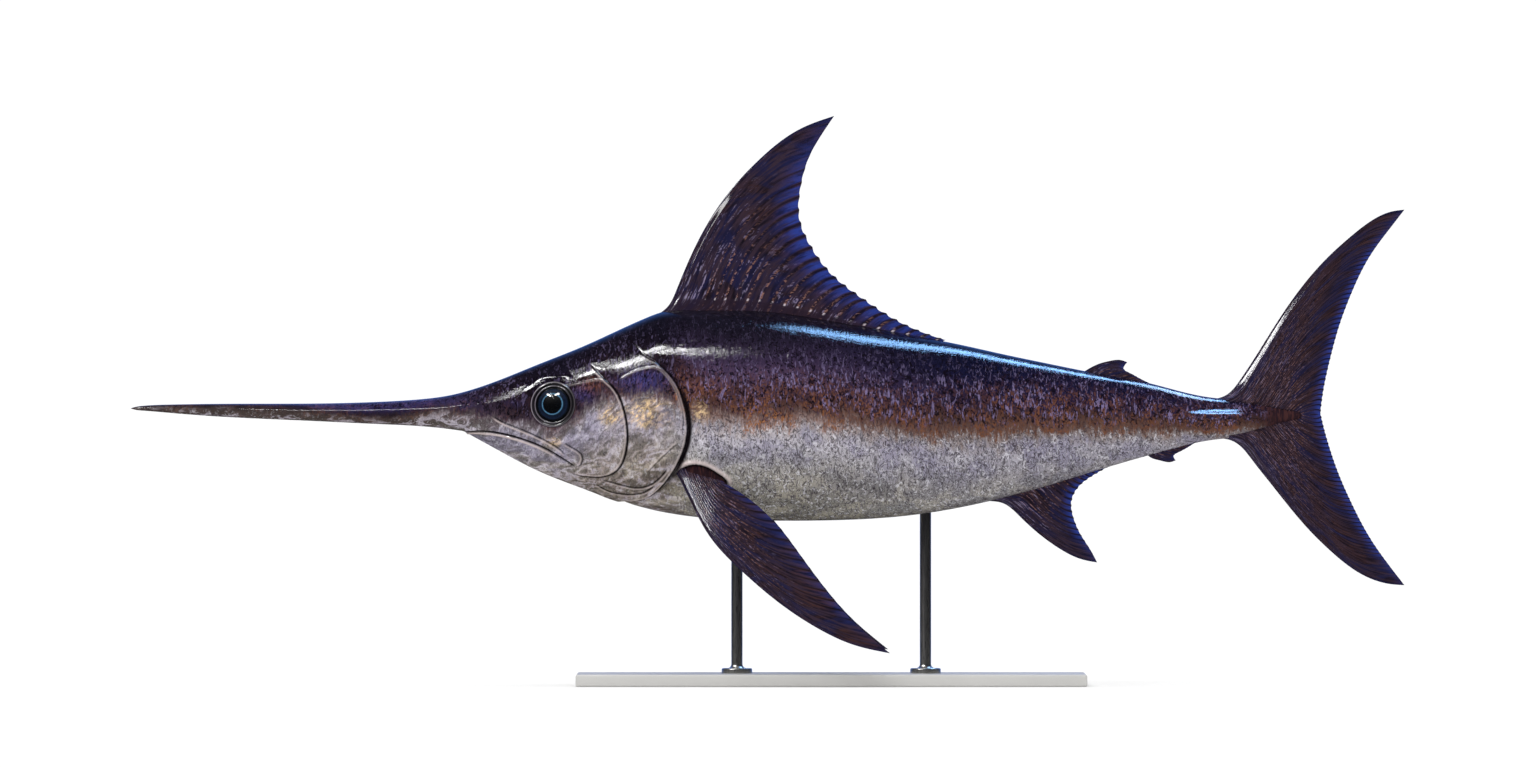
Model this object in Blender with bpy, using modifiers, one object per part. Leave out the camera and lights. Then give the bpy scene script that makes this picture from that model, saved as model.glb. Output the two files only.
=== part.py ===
"""A swordfish, life size, held level above a plain display stand.

Every size is in millimetres. The fish is drawn in its own frame: along runs back from the tip of
the bill, up is measured from the body's level line, which passes through the keels of the tail
stalk, and out runs sideways from the middle plane. The fish heads towards -X, with its left side
towards -Y. The empty that carries it stands at the bill's tip, at the height of the level line.
The origin is on the floor, under the middle of the fish's length.
"""

import math

import bmesh
import bpy
import numpy as np
from mathutils import Vector

MM = 0.001
TOTAL_LENGTH = 2500  # bill tip to tail tips
LEVEL_HEIGHT = 530  # the body's level line above the floor
GAP = 0.3  # between one piece and the next

# Where the body is parted, along its length.
JAW_TIP = 655
BODY_JOINT = 1411
STALK_JOINT = 1961
STALK_END = 2300

SIDES = 32  # facets round the body
CLOSER = 0.1

# The lines of the body as a naval architect would give them, each as (along, up or out).
BACK_LINE = (
    (0, 14), (8, 16.5), (24, 19), (78, 21.5), (188, 23), (353, 23.5), (490, 27), (569, 32),
    (628, 40), (667, 50), (726, 70.5), (804, 102), (883, 133.5), (961, 169), (1001, 187),
    (1040, 201), (1118, 206), (1236, 204), (1315, 194.5), (1413, 177), (1511, 160), (1609, 143),
    (1707, 121.5), (1805, 101), (1903, 81.5), (2001, 63), (2060, 47.5), (2119, 35.5), (2178, 30),
    (2237, 20), (2300, 6),
)
BILL_UNDERLINE = (
    (0, 14), (8, 11.5), (24, 9.5), (78, 5), (188, -3), (353, -10.5), (490, -17), (569, -21),
    (628, -27), (700, -38),
)
BELLY_LINE = (
    (655, -31.5), (726, -70.5), (804, -110.5), (883, -141), (961, -168), (1040, -188.5),
    (1118, -200), (1275, -206.5), (1413, -204.5), (1511, -198), (1609, -184), (1713, -161.5),
    (1809, -135.5), (1919, -101), (2041, -66.5), (2119, -48.5), (2178, -41), (2237, -24),
    (2300, -6),
)
HALF_BREADTH = (
    (0, 1.5), (8, 4.5), (24, 8.5), (78, 14), (188, 21.5), (353, 29.5), (490, 35), (569, 39),
    (655, 46), (726, 55), (804, 69), (883, 88), (961, 106), (1040, 121), (1118, 130.5),
    (1236, 134.5), (1413, 129), (1511, 120), (1609, 108), (1707, 94.5), (1805, 80.5), (1903, 66.5),
    (2001, 53), (2119, 38), (2178, 30), (2237, 20), (2300, 8),
)
WIDEST_LEVEL = ((0, 14), (188, 10), (353, 6.5), (655, 5), (804, 0), (1000, -8), (1300, -10),
                (1700, -4), (2000, 0), (2300, 0))
FULLNESS_ABOVE = ((0, 2.0), (569, 2.0), (700, 2.1), (830, 2.25), (1000, 2.15), (1300, 2.1),
                  (1900, 2.0), (2300, 2.0))
FULLNESS_BELOW = ((0, 2.0), (655, 1.95), (830, 1.85), (1000, 2.0), (1300, 2.15), (2000, 2.0),
                  (2300, 2.0))

# The keel on each side of the tail stalk.
KEEL_MIDDLE = 2150
KEEL_LENGTH = 130  # from its middle to where it has sunk away
KEEL_OUT = 20
KEEL_THICKNESS = 9

# Lines on the side of the head, each as (along, up).
MOUTH_LINE = ((640, -31.5), (684, -31.8), (722, -36), (759, -43.5), (786, -53), (834, -75.5),
              (857, -88.5), (876, -102))
JAW_HINGE_LINE = ((884, -112), (905, -190))
GILL_EDGE = ((915, 205), (952, 165), (985, 136), (1032, 106), (1064, 60), (1083, 16),
             (1089, -29), (1081, -73), (1058, -116), (1024, -146), (985, -163), (930, -172),
             (880, -190))
COVER_FRONT = ((900, -124), (930, -120.5), (952, -113), (967, -91), (974, -39), (970, 6),
               (958, 41), (940, 64))
COVER_TOP = ((965, 81), (995, 96), (1030, 104))
COVER_BOTTOM = ((985, -163), (942, -151), (907, -135))
COVER_PROUD = 2.5  # the gill cover above the skin round it
COVER_DEPTH = 9  # the gill cover below the skin round it
MOUTH_GAP = 1.2
LIP_RADIUS = 3.2

EYE_ALONG, EYE_UP = 830, 22
EYE_RADIUS = 40
EYE_HALF_DEPTH = 24
EYE_SINK = 15  # the eyeball's middle below the skin
EYE_OPENING = 36
EYE_RIM_RADIUS = 3.5
EYE_RIM_FACETS = 22
NOSTRILS = ((742, 3), (757, -1))
NOSTRIL_RADIUS = 2.6
NOSTRIL_DEPTH = 8

# Fins. The front edge runs from inside the body to the tip, and the rear edge from the tip down
# into the body again. The root lies inside the body, from the front edge's first point to its end.
FIRST_DORSAL = dict(
    front=((1044, 186), (1060, 227), (1099, 314), (1158, 416.5), (1236, 504.5), (1315, 563),
           (1381, 588)),
    rear=((1381, 588), (1354, 547.5), (1334, 512), (1315, 446), (1314, 383), (1334, 335.5),
          (1374, 280.5), (1433, 233), (1511, 183.5), (1570, 158), (1600, 148)),
    root_end=(1586, 136), rays=21, rows=8, root_half=9, tip_half=1.2, edge_half=0.9, ridge=0.8,
    crowd=(1.25, 0.9),
)
SECOND_DORSAL = dict(
    front=((1862, 80), (1884, 94), (1903, 102.5), (1923, 107.5), (1943, 109), (1956, 104.5)),
    rear=((1956, 104.5), (1949, 92.5), (1962, 83), (1982, 72), (2008, 59.5)),
    root_end=(1994, 56), rays=5, rows=4, root_half=4, tip_half=0.9, edge_half=0.8, ridge=0.5,
    crowd=(1.1, 1.0),
)
FIRST_ANAL = dict(
    front=((1700, -150), (1717, -175), (1746, -201), (1786, -235), (1825, -262.5), (1864, -281.5),
           (1897, -288.5)),
    rear=((1897, -288.5), (1884, -264), (1864, -232), (1850, -198), (1846.5, -170.5), (1864, -136.5),
          (1884, -121), (1922, -99)),
    root_end=(1908, -92), rays=12, rows=6, root_half=7, tip_half=1.1, edge_half=0.9, ridge=0.7,
    crowd=(1.15, 0.95),
)
SECOND_ANAL = dict(
    front=((1988, -67), (2001, -82), (2021, -88.5), (2041, -91.5), (2051, -88)),
    rear=((2051, -88), (2047, -80.5), (2060, -70.5), (2088, -54)),
    root_end=(2075, -50), rays=5, rows=4, root_half=3.5, tip_half=0.9, edge_half=0.8, ridge=0.5,
    crowd=(1.1, 1.0),
)
PECTORAL = dict(
    front=((1068, -104), (1099, -167), (1138, -237.5), (1197, -301), (1275, -367), (1354, -418),
           (1413, -445), (1489, -463)),
    rear=((1489, -463), (1416, -401), (1358, -334), (1308, -266), (1264, -209), (1207, -158),
          (1160, -128)),
    root_end=(1146, -116), rays=12, rows=8, root_half=10, tip_half=1.1, edge_half=0.9, ridge=0.7,
    crowd=(1.05, 0.95),
)
UPPER_TAIL = dict(
    front=((2134, 22), (2158, 46), (2198, 100), (2237, 163), (2276, 222), (2315, 273), (2355, 316),
           (2394, 351), (2433, 381), (2473, 400), (2500, 404)),
    rear=((2500, 404), (2473, 369), (2433, 314), (2394, 235), (2374, 182), (2355, 114), (2341, 49),
          (2334, -6)),
    root_end=(2270, -8), rays=12, rows=8, root_half=11, tip_half=1.3, edge_half=1.0, ridge=0.8,
    crowd=(1.0, 1.0),
)
LOWER_TAIL = dict(
    front=((2130, -32), (2160, -48), (2178, -60), (2198, -83), (2237, -133), (2276, -182),
           (2315, -227), (2355, -266), (2394, -298), (2433, -320), (2473, -331), (2500, -333)),
    rear=((2500, -333), (2473, -298), (2433, -241), (2394, -167), (2374, -122), (2355, -69),
          (2341, -20), (2334, 10)),
    root_end=(2270, 12), rays=12, rows=8, root_half=11, tip_half=1.3, edge_half=1.0, ridge=0.8,
    crowd=(1.0, 1.0),
)
FORK_LEVEL = 2  # the lobes part at this height

# The pectoral fins leave the body here and slope down and out, from under a fold of skin.
SHOULDER_FOLD = ((1062, -125), (1076, -110), (1102, -101), (1135, -105), (1162, -118), (1174, -136))
FOLD_RADIUS = 7
SHOULDER_UP = -118
SHOULDER_OUT = 104
PECTORAL_SPLAY = math.radians(30)

# The stand.
BASE_LENGTH, BASE_WIDTH, BASE_THICKNESS = 1000, 380, 24
BASE_EDGE = 4
ROD_RADIUS = 11
ROD_FOOT_RADIUS, ROD_FOOT_HEIGHT = 30, 10
ROD_PLACES = {"front": 1190, "rear": 1560}
STAND_MIDDLE = 1375

COLOURS = {
    "back_skin": ((0.045, 0.030, 0.040), 0.25, 0.0),
    "bill_skin": ((0.075, 0.055, 0.060), 0.30, 0.0),
    "cheek_skin": ((0.36, 0.33, 0.33), 0.25, 0.0),
    "jaw_skin": ((0.42, 0.39, 0.38), 0.30, 0.0),
    "fin_skin": ((0.035, 0.028, 0.045), 0.35, 0.0),
    "eye": ((0.010, 0.014, 0.030), 0.05, 0.0),
    "stand_base": ((0.55, 0.55, 0.54), 0.45, 0.0),
    "stand_steel": ((0.60, 0.60, 0.60), 0.30, 1.0),
}


def spline(points):
    """A natural cubic through (x, y) points, as a function of x."""
    x, y = np.array(points, float).T
    step = np.diff(x)
    slope = np.diff(y) / step
    count = len(x)
    matrix = np.eye(count)
    known = np.zeros(count)
    for i in range(1, count - 1):
        matrix[i, i - 1 : i + 2] = step[i - 1], 2 * (step[i - 1] + step[i]), step[i]
        known[i] = 6 * (slope[i] - slope[i - 1])
    bend = np.linalg.solve(matrix, known)

    def at(value):
        value = np.clip(value, x[0], x[-1])
        i = np.clip(np.searchsorted(x, value) - 1, 0, count - 2)
        a, b, h = x[i + 1] - value, value - x[i], step[i]
        curve = (bend[i] * a**3 + bend[i + 1] * b**3) / (6 * h)
        return curve + (y[i] / h - bend[i] * h / 6) * a + (y[i + 1] / h - bend[i + 1] * h / 6) * b

    return at


def smooth_path(points):
    """A smooth curve through (along, up) points, as a function of the share of its length."""
    points = np.array(points, float)
    run = np.concatenate([[0], np.cumsum(np.linalg.norm(np.diff(points, axis=0), axis=1))])
    share = run / run[-1]
    along, up = spline(np.column_stack([share, points[:, 0]])), spline(np.column_stack([share, points[:, 1]]))
    return lambda s: np.array([along(s), up(s)])


# The corners of a section lie closer together along the back, the belly and the keels.
ROUND = [t - CLOSER * math.sin(4 * t) for t in (2 * math.pi * k / SIDES for k in range(SIDES))]

back = spline(BACK_LINE)
bill_under = spline(BILL_UNDERLINE)
belly = spline(BELLY_LINE)
half_breadth = spline(HALF_BREADTH)
widest_level = spline(WIDEST_LEVEL)
fullness_above = spline(FULLNESS_ABOVE)
fullness_below = spline(FULLNESS_BELOW)


def skin_point(along, angle, grow=0.0, under=belly):
    """(out, up) of the skin at an angle round the body: 0 at the back, pi at the belly."""
    level = float(widest_level(along))
    upper = math.cos(angle) >= 0
    reach = (back(along) + grow - level) if upper else (level - under(along) + grow)
    power = 2 / (fullness_above(along) if upper else fullness_below(along))
    up = level + math.copysign(reach * abs(math.cos(angle)) ** power, math.cos(angle))
    out = (half_breadth(along) + grow) * abs(math.sin(angle)) ** power
    rise = max(0.0, 1 - ((along - KEEL_MIDDLE) / KEEL_LENGTH) ** 2) ** 1.5
    out += KEEL_OUT * rise * math.exp(-((up / KEEL_THICKNESS) ** 2))
    return math.copysign(out, math.sin(angle)), up


def skin_out(along, up):
    """How far out the skin is at this place on the side of the fish."""
    low, high = (0.0, math.pi)
    for _ in range(30):
        middle = (low + high) / 2
        if skin_point(along, middle)[1] > up:
            low = middle
        else:
            high = middle
    return skin_point(along, low)[0]


def spot(along, out, up):
    """A place on the fish, in metres, in the frame of the empty that carries it."""
    return Vector((along * MM, out * MM, up * MM))


def material(name):
    """The named finish, made once."""
    found = bpy.data.materials.get(name)
    if found:
        return found
    colour, roughness, metallic = COLOURS[name]
    made = bpy.data.materials.new(name)
    made.use_nodes = True
    shader = made.node_tree.nodes["Principled BSDF"]
    shader.inputs["Base Color"].default_value = (*colour, 1)
    shader.inputs["Roughness"].default_value = roughness
    shader.inputs["Metallic"].default_value = metallic
    return made


def add_object(name, mesh, finish=None):
    """A mesh as an object of the fish, or as a helper without a finish."""
    made = bpy.data.objects.new(name, mesh)
    (parts if finish else cutters).objects.link(made)
    made.parent = carrier
    if finish:
        mesh.materials.append(material(finish))
    else:
        made.hide_render = True
        made.display_type = "WIRE"
    return made


def to_mesh(name, bm):
    """A closed shape as a mesh whose faces look outwards."""
    bmesh.ops.recalc_face_normals(bm, faces=bm.faces)
    if bm.calc_volume(signed=True) < 0:
        bmesh.ops.reverse_faces(bm, faces=bm.faces)
    mesh = bpy.data.meshes.new(name)
    bm.to_mesh(mesh)
    bm.free()
    return mesh


def loft(name, stations, finish=None, grow=0.0, under=belly):
    """A closed body through the skin's sections at these stations."""
    bm = bmesh.new()
    rings = []
    for along in stations:
        corners = [skin_point(along, angle, grow, under) for angle in ROUND]
        rings.append([bm.verts.new(spot(along, out, up)) for out, up in corners])
    for near, far in zip(rings, rings[1:]):
        for k in range(SIDES):
            n = (k + 1) % SIDES
            bm.faces.new((near[k], near[n], far[n], far[k]))
    bm.faces.new(rings[0])
    bm.faces.new(rings[-1])
    bmesh.ops.triangulate(bm, faces=bm.faces)
    return add_object(name, to_mesh(name, bm), finish)


def stations(start, end, step):
    return np.linspace(start, end, max(2, round((end - start) / step) + 1))


TRUNK = stations(900, BODY_JOINT - GAP / 2, 40)
REAR = stations(BODY_JOINT + GAP / 2, STALK_JOINT - GAP / 2, 50)
STALK = stations(STALK_JOINT + GAP / 2, STALK_END, 31)


def shifted(points, distance):
    """A line of points moved to its left by a distance, as seen with along to the right and up."""
    points = np.array(points, float)
    heading = np.gradient(points, axis=0)
    heading /= np.linalg.norm(heading, axis=1)[:, None]
    return points + distance * np.column_stack([-heading[:, 1], heading[:, 0]])


def fine(points, count):
    """Points spread evenly on the smooth curve through a few."""
    curve = smooth_path(points)
    return np.array([curve(s) for s in np.linspace(0, 1, count)])


def prism(name, outline, low=-200.0, high=200.0):
    """A closed outline of (along, up) points, run straight through the fish from low to high."""
    bm = bmesh.new()
    face = bm.faces.new([bm.verts.new(spot(along, low, up)) for along, up in outline])
    run = bmesh.ops.extrude_face_region(bm, geom=[face], use_keep_orig=True)
    moved = [v for v in run["geom"] if isinstance(v, bmesh.types.BMVert)]
    bmesh.ops.translate(bm, verts=moved, vec=(0, (high - low) * MM, 0))
    bmesh.ops.triangulate(bm, faces=bm.faces)
    return add_object(name, to_mesh(name, bm))


def settle(obj):
    """Turns an object's modifiers into its mesh."""
    bpy.context.view_layer.update()
    graph = bpy.context.evaluated_depsgraph_get()
    mesh = bpy.data.meshes.new_from_object(obj.evaluated_get(graph))
    obj.modifiers.clear()
    obj.data = mesh


def combine(obj, other, operation):
    """Cuts an object by a helper, or keeps what the two share."""
    boolean = obj.modifiers.new(operation.lower(), "BOOLEAN")
    boolean.operation = operation
    boolean.solver = "EXACT"
    boolean.object = other
    settle(obj)


def join(obj, pieces):
    """Fuses closed pieces into an object."""
    group = bpy.data.collections.new(obj.name + "_pieces")
    for piece in pieces:
        group.objects.link(piece)
    boolean = obj.modifiers.new("union", "BOOLEAN")
    boolean.operation = "UNION"
    boolean.solver = "EXACT"
    boolean.operand_type = "COLLECTION"
    boolean.collection = group
    settle(obj)
    for piece in pieces:
        bpy.data.objects.remove(piece)
    bpy.data.collections.remove(group)


def keep_largest(obj):
    """Drops every loose scrap of a mesh but its largest closed surface."""
    bm = bmesh.new()
    bm.from_mesh(obj.data)
    bmesh.ops.remove_doubles(bm, verts=bm.verts, dist=1e-7)
    left = set(bm.verts)
    shells = []
    while left:
        reached = [left.pop()]
        shell = []
        while reached:
            vertex = reached.pop()
            shell.append(vertex)
            for edge in vertex.link_edges:
                other = edge.other_vert(vertex)
                if other in left:
                    left.remove(other)
                    reached.append(other)
        shells.append(shell)
    shells.sort(key=len)
    for shell in shells[:-1]:
        bmesh.ops.delete(bm, geom=shell, context="VERTS")
    bm.to_mesh(obj.data)
    bm.free()


def finish_shading(obj, angle=40):
    obj.data.shade_smooth()
    obj.data.set_sharp_from_angle(angle=math.radians(angle))


def make_bill():
    rounded_tip = [0.6, 4, 12, 30]
    places = np.concatenate([rounded_tip, stations(75, JAW_TIP - GAP, 64)])
    bill = loft("bill", places, "bill_skin", under=bill_under)
    finish_shading(bill)


def widened(outline, distance):
    """A closed outline, drawn clockwise, with every side moved outwards by a distance."""
    points = np.array(outline, float)
    before = points - np.roll(points, 1, axis=0)
    after = np.roll(points, -1, axis=0) - points
    before /= np.linalg.norm(before, axis=1)[:, None]
    after /= np.linalg.norm(after, axis=1)[:, None]
    away = np.column_stack([-before[:, 1] - after[:, 1], before[:, 0] + after[:, 0]])
    return points + 2 * distance * away / (away**2).sum(axis=1)[:, None]


def jaw_outline():
    """The lower jaw seen from the side, clockwise from its tip: the mouth line, then the hinge."""
    return [*fine(MOUTH_LINE, 15), *JAW_HINGE_LINE, (600, -190)]


def before_gills():
    """All that lies before the gill slit, which parts the head from the trunk."""
    edge = shifted(fine(GILL_EDGE, 30), -GAP / 2)
    return prism("before_gills", [*edge, (600, -260), (600, 260)])


def cover_outline():
    """A gill cover seen from the side, clockwise, with its rear edge run on past the gill slit."""
    edge = fine(GILL_EDGE, 30)
    rear = [(x + 25, y) for x, y in edge if COVER_TOP[-1][1] > y > COVER_BOTTOM[0][1]]
    top = fine(COVER_FRONT[-1:] + COVER_TOP, 5)[1:]
    bottom = fine(COVER_BOTTOM + COVER_FRONT[:1], 5)[:-1]
    return [*fine(COVER_FRONT, 11), *top, *rear, *bottom]


def make_head():
    """The head behind the bill, above the jaw and before the gill slit, with its lips and lids."""
    head = loft("head", [JAW_TIP, 667, 680, *stations(700, 1120, 28)], "cheek_skin")
    combine(head, before_gills(), "INTERSECT")
    join(head, lips("upper", LIP_RADIUS / 2))
    combine(head, prism("mouth", widened(jaw_outline(), MOUTH_GAP / 2)), "DIFFERENCE")
    cover_bed = prism("cover_bed", widened(cover_outline(), GAP / 2))
    core = loft("cover_core", stations(880, 1130, 28), grow=-COVER_DEPTH - GAP)
    combine(cover_bed, core, "DIFFERENCE")
    combine(head, cover_bed, "DIFFERENCE")
    join(head, eye_rims())
    for side in (-1, 1):
        combine(head, eye_socket(side), "DIFFERENCE")
        for k, (along, up) in enumerate(NOSTRILS):
            combine(head, nostril(side, k, along, up), "DIFFERENCE")
    keep_largest(head)
    finish_shading(head)


def make_jaw():
    jaw = loft("lower_jaw", [JAW_TIP, 667, 680, *stations(700, 940, 28)], "jaw_skin")
    join(jaw, lips("lower", -LIP_RADIUS / 2))
    combine(jaw, prism("jaw_shape", widened(jaw_outline(), -MOUTH_GAP / 2)), "INTERSECT")
    keep_largest(jaw)
    finish_shading(jaw)


def bead(name, line, side, radius, closed=False):
    """A round bead of skin along a line of (along, up) points on one side of the fish."""
    curve = bpy.data.curves.new(name, "CURVE")
    curve.dimensions = "3D"
    curve.bevel_depth = radius * MM
    curve.bevel_resolution = 1
    curve.use_fill_caps = not closed
    run = curve.splines.new("POLY")
    run.use_cyclic_u = closed
    run.points.add(len(line) - 1)
    for point, (along, up) in zip(run.points, line):
        point.co = (*spot(along, side * (skin_out(along, up) - radius / 2), up), 1)
    return curve_to_mesh(name, curve)


def lips(name, above):
    """A soft round lip along the mouth line on each side."""
    line = shifted(fine(MOUTH_LINE[1:], 11), above)
    return [bead(f"{name}_lip_{side}", line, side, LIP_RADIUS) for side in (-1, 1)]


def curve_to_mesh(name, curve):
    """A curve as a closed mesh, with its caps welded."""
    holder = bpy.data.objects.new(name + "_curve", curve)
    cutters.objects.link(holder)
    bpy.context.view_layer.update()
    graph = bpy.context.evaluated_depsgraph_get()
    bm = bmesh.new()
    bm.from_mesh(bpy.data.meshes.new_from_object(holder.evaluated_get(graph)))
    bmesh.ops.remove_doubles(bm, verts=bm.verts, dist=1e-6)
    bpy.data.objects.remove(holder)
    return add_object(name, to_mesh(name, bm))


def eye_frame(side):
    """The place of the eye's middle on the skin, and the way it faces."""
    step = 12
    middle = spot(EYE_ALONG, side * skin_out(EYE_ALONG, EYE_UP), EYE_UP)
    behind = spot(EYE_ALONG + step, side * skin_out(EYE_ALONG + step, EYE_UP), EYE_UP)
    above = spot(EYE_ALONG, side * skin_out(EYE_ALONG, EYE_UP + step), EYE_UP + step)
    facing = (behind - middle).cross(above - middle).normalized()
    if facing.y * side < 0:
        facing.negate()
    return middle, facing


def ball(name, side, radius, half_depth, finish=None, segments=20, rings=10):
    """A flattened ball in the eye's place, its flat side along the skin."""
    middle, facing = eye_frame(side)
    bm = bmesh.new()
    bmesh.ops.create_uvsphere(bm, u_segments=segments, v_segments=rings, radius=MM)
    bmesh.ops.scale(bm, vec=(radius, radius, half_depth), verts=bm.verts)
    made = add_object(name, to_mesh(name, bm), finish)
    made.location = middle - facing * EYE_SINK * MM
    made.rotation_euler = facing.to_track_quat("Z", "Y").to_euler()
    return made


def eye_socket(side):
    """The eyeball's own shape, a gap larger, with a round way out through the skin."""
    socket = ball("socket", side, EYE_RADIUS + GAP, EYE_HALF_DEPTH + GAP)
    bm = bmesh.new()
    height = 40
    bmesh.ops.create_cone(bm, cap_ends=True, segments=22, radius1=EYE_OPENING * MM,
                          radius2=EYE_OPENING * MM, depth=height * MM)
    bmesh.ops.translate(bm, verts=bm.verts, vec=(0, 0, (height / 2 + 2) * MM))
    way_out = add_object("way_out", to_mesh("way_out", bm))
    way_out.location = socket.location
    way_out.rotation_euler = socket.rotation_euler
    join(socket, [way_out])
    return socket


def eye_rims():
    """The raised ring of skin round each eye, which is all the lid a swordfish has."""
    radius = EYE_OPENING + EYE_RIM_RADIUS / 2
    turns = [2 * math.pi * k / EYE_RIM_FACETS for k in range(EYE_RIM_FACETS)]
    ring = [(EYE_ALONG - radius * math.cos(t), EYE_UP + radius * math.sin(t)) for t in turns]
    return [bead(f"eye_rim_{side}", ring, side, EYE_RIM_RADIUS, closed=True) for side in (-1, 1)]


def nostril(side, index, along, up):
    bm = bmesh.new()
    bmesh.ops.create_cone(bm, cap_ends=True, segments=8, radius1=NOSTRIL_RADIUS * MM,
                          radius2=NOSTRIL_RADIUS * MM, depth=2 * NOSTRIL_DEPTH * MM)
    made = add_object(f"nostril_{side}_{index}", to_mesh("nostril", bm))
    made.location = spot(along, side * skin_out(along, up), up)
    made.rotation_euler = (math.pi / 2, 0, 0)
    return made


def make_gill_covers():
    """The bony flap that covers the gills, a plate that stands a little proud of the head."""
    core = loft("plate_core", stations(880, 1130, 28), grow=-COVER_DEPTH)
    for name, low, high in (("gill_cover_left", -200, -1), ("gill_cover_right", 1, 200)):
        cover = loft(name, stations(880, 1130, 28), "cheek_skin", grow=COVER_PROUD)
        outline = prism(name + "_outline", widened(cover_outline(), -GAP / 2), low, high)
        combine(cover, outline, "INTERSECT")
        combine(cover, before_gills(), "INTERSECT")
        combine(cover, core, "DIFFERENCE")
        keep_largest(cover)
        finish_shading(cover)


def make_eyes():
    for name, side in (("eye_left", -1), ("eye_right", 1)):
        eye = ball(name, side, EYE_RADIUS, EYE_HALF_DEPTH, "eye")
        finish_shading(eye)


def shoulder_fold(side, radius):
    return bead(f"shoulder_fold_{side}", fine(SHOULDER_FOLD, 9), side, radius)


def make_body():
    """The trunk behind the gills, the rear of the body and the tail stalk with its keels."""
    edge = shifted(fine(GILL_EDGE, 30), GAP / 2)
    front = loft("body_front", TRUNK, "back_skin")
    combine(front, prism("gill_slit", [*edge, (700, -260), (700, 260)]), "DIFFERENCE")
    join(front, [shoulder_fold(side, FOLD_RADIUS) for side in (-1, 1)])
    keep_largest(front)
    rear = loft("body_rear", REAR, "back_skin")
    stalk = loft("tail_stalk", STALK, "back_skin")
    for piece in (front, rear, stalk):
        finish_shading(piece)


def foil(share):
    """The thickness of a fin across its width: fullest a little behind the front edge."""
    return 1.35 * math.sqrt(max(share, 0.0)) * (1 - share) ** 1.2 + 0.35 * (1 - share)


def root_line(outline, line):
    """A fin's root, which keeps along a line of the body from its first point to its last."""
    (start, first), (end, last) = outline["front"][0], outline["root_end"]
    first, last = first - line(start), last - line(end)

    def at(share):
        along = start + (end - start) * share
        return along, line(along) + first + (last - first) * share

    return at


def fin(name, outline, line, place_at=spot):
    """A fin as two ridged faces. Its rays run from the root to the rear edge, each bent as the
    front edge is, and every second column of the grid stands on a ray."""
    base = root_line(outline, line)
    front, rear = smooth_path(outline["front"]), smooth_path(outline["rear"])
    root, tip = complex(*front(0)), complex(*front(1))
    rays, rows = outline["rays"], outline["rows"]
    base_crowd, edge_crowd = outline["crowd"]

    def place(share, reach, side):
        start = complex(*base(share**base_crowd))
        end = complex(*rear(share**edge_crowd))
        ray = start + (end - start) / (tip - root) * (complex(*front(reach)) - root)
        full = outline["root_half"] * foil(share) * (1 - reach) ** 0.7
        half = max(full, outline["edge_half"] + (outline["tip_half"] - outline["edge_half"]) * (1 - share))
        on_ray = round(share * 2 * rays) % 2 == 1
        if on_ray and 0 < reach < 1:
            half += outline["ridge"]
        return place_at(ray.real, side * half, ray.imag)

    bm = bmesh.new()
    bmesh.ops.create_grid(bm, x_segments=2 * rays, y_segments=rows, size=0.5)
    bmesh.ops.triangulate(bm, faces=bm.faces)
    bmesh.ops.translate(bm, verts=bm.verts, vec=(0.5, 0.5, -1))
    run = bmesh.ops.extrude_face_region(bm, geom=bm.faces[:], use_keep_orig=True)
    moved = [v for v in run["geom"] if isinstance(v, bmesh.types.BMVert)]
    bmesh.ops.translate(bm, verts=moved, vec=(0, 0, 2))
    for vertex in bm.verts:
        share, reach, side = vertex.co
        vertex.co = place(min(max(share, 0.0), 1.0), min(max(reach, 0.0), 1.0), side)
    return add_object(name, to_mesh(name, bm), "fin_skin")


def make_middle_fins():
    """The fins in the middle plane, each cut to meet the skin that it grows from."""
    body = loft("body_clearance", [*TRUNK, *REAR, *STALK], grow=GAP)
    fins = (
        ("first_dorsal_fin", FIRST_DORSAL, back),
        ("second_dorsal_fin", SECOND_DORSAL, back),
        ("first_anal_fin", FIRST_ANAL, belly),
        ("second_anal_fin", SECOND_ANAL, belly),
    )
    for name, outline, line in fins:
        made = fin(name, outline, line)
        combine(made, body, "DIFFERENCE")
        keep_largest(made)
        finish_shading(made)


def make_tail_fin():
    """The two lobes of the tail, which spring from the end of the stalk."""
    stalk = loft("stalk_clearance", [*REAR, *STALK, STALK_END + GAP], grow=GAP)
    lobes = (("tail_fin_upper", UPPER_TAIL, back, 1), ("tail_fin_lower", LOWER_TAIL, belly, -1))
    for name, outline, line, way in lobes:
        lobe = fin(name, outline, line)
        far = 600 * way
        level = FORK_LEVEL + way * GAP / 2
        half = prism(name + "_half", [(2000, level), (2600, level), (2600, far), (2000, far)])
        combine(lobe, half, "INTERSECT")
        combine(lobe, stalk, "DIFFERENCE")
        keep_largest(lobe)
        finish_shading(lobe)


def make_pectoral_fins():
    """The pair of long fins low on the shoulders, which slope down, out and back."""
    body = loft("shoulder_clearance", TRUNK, grow=GAP)
    join(body, [shoulder_fold(side, FOLD_RADIUS + GAP) for side in (-1, 1)])
    for name, way in (("pectoral_fin_left", -1), ("pectoral_fin_right", 1)):

        def splayed(along, offset, up):
            out = SHOULDER_OUT + (SHOULDER_UP - up) * math.tan(PECTORAL_SPLAY)
            out += offset * math.cos(PECTORAL_SPLAY)
            return spot(along, way * out, up + offset * math.sin(PECTORAL_SPLAY))

        made = fin(name, PECTORAL, lambda along: 0, splayed)
        combine(made, body, "DIFFERENCE")
        keep_largest(made)
        finish_shading(made)


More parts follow.
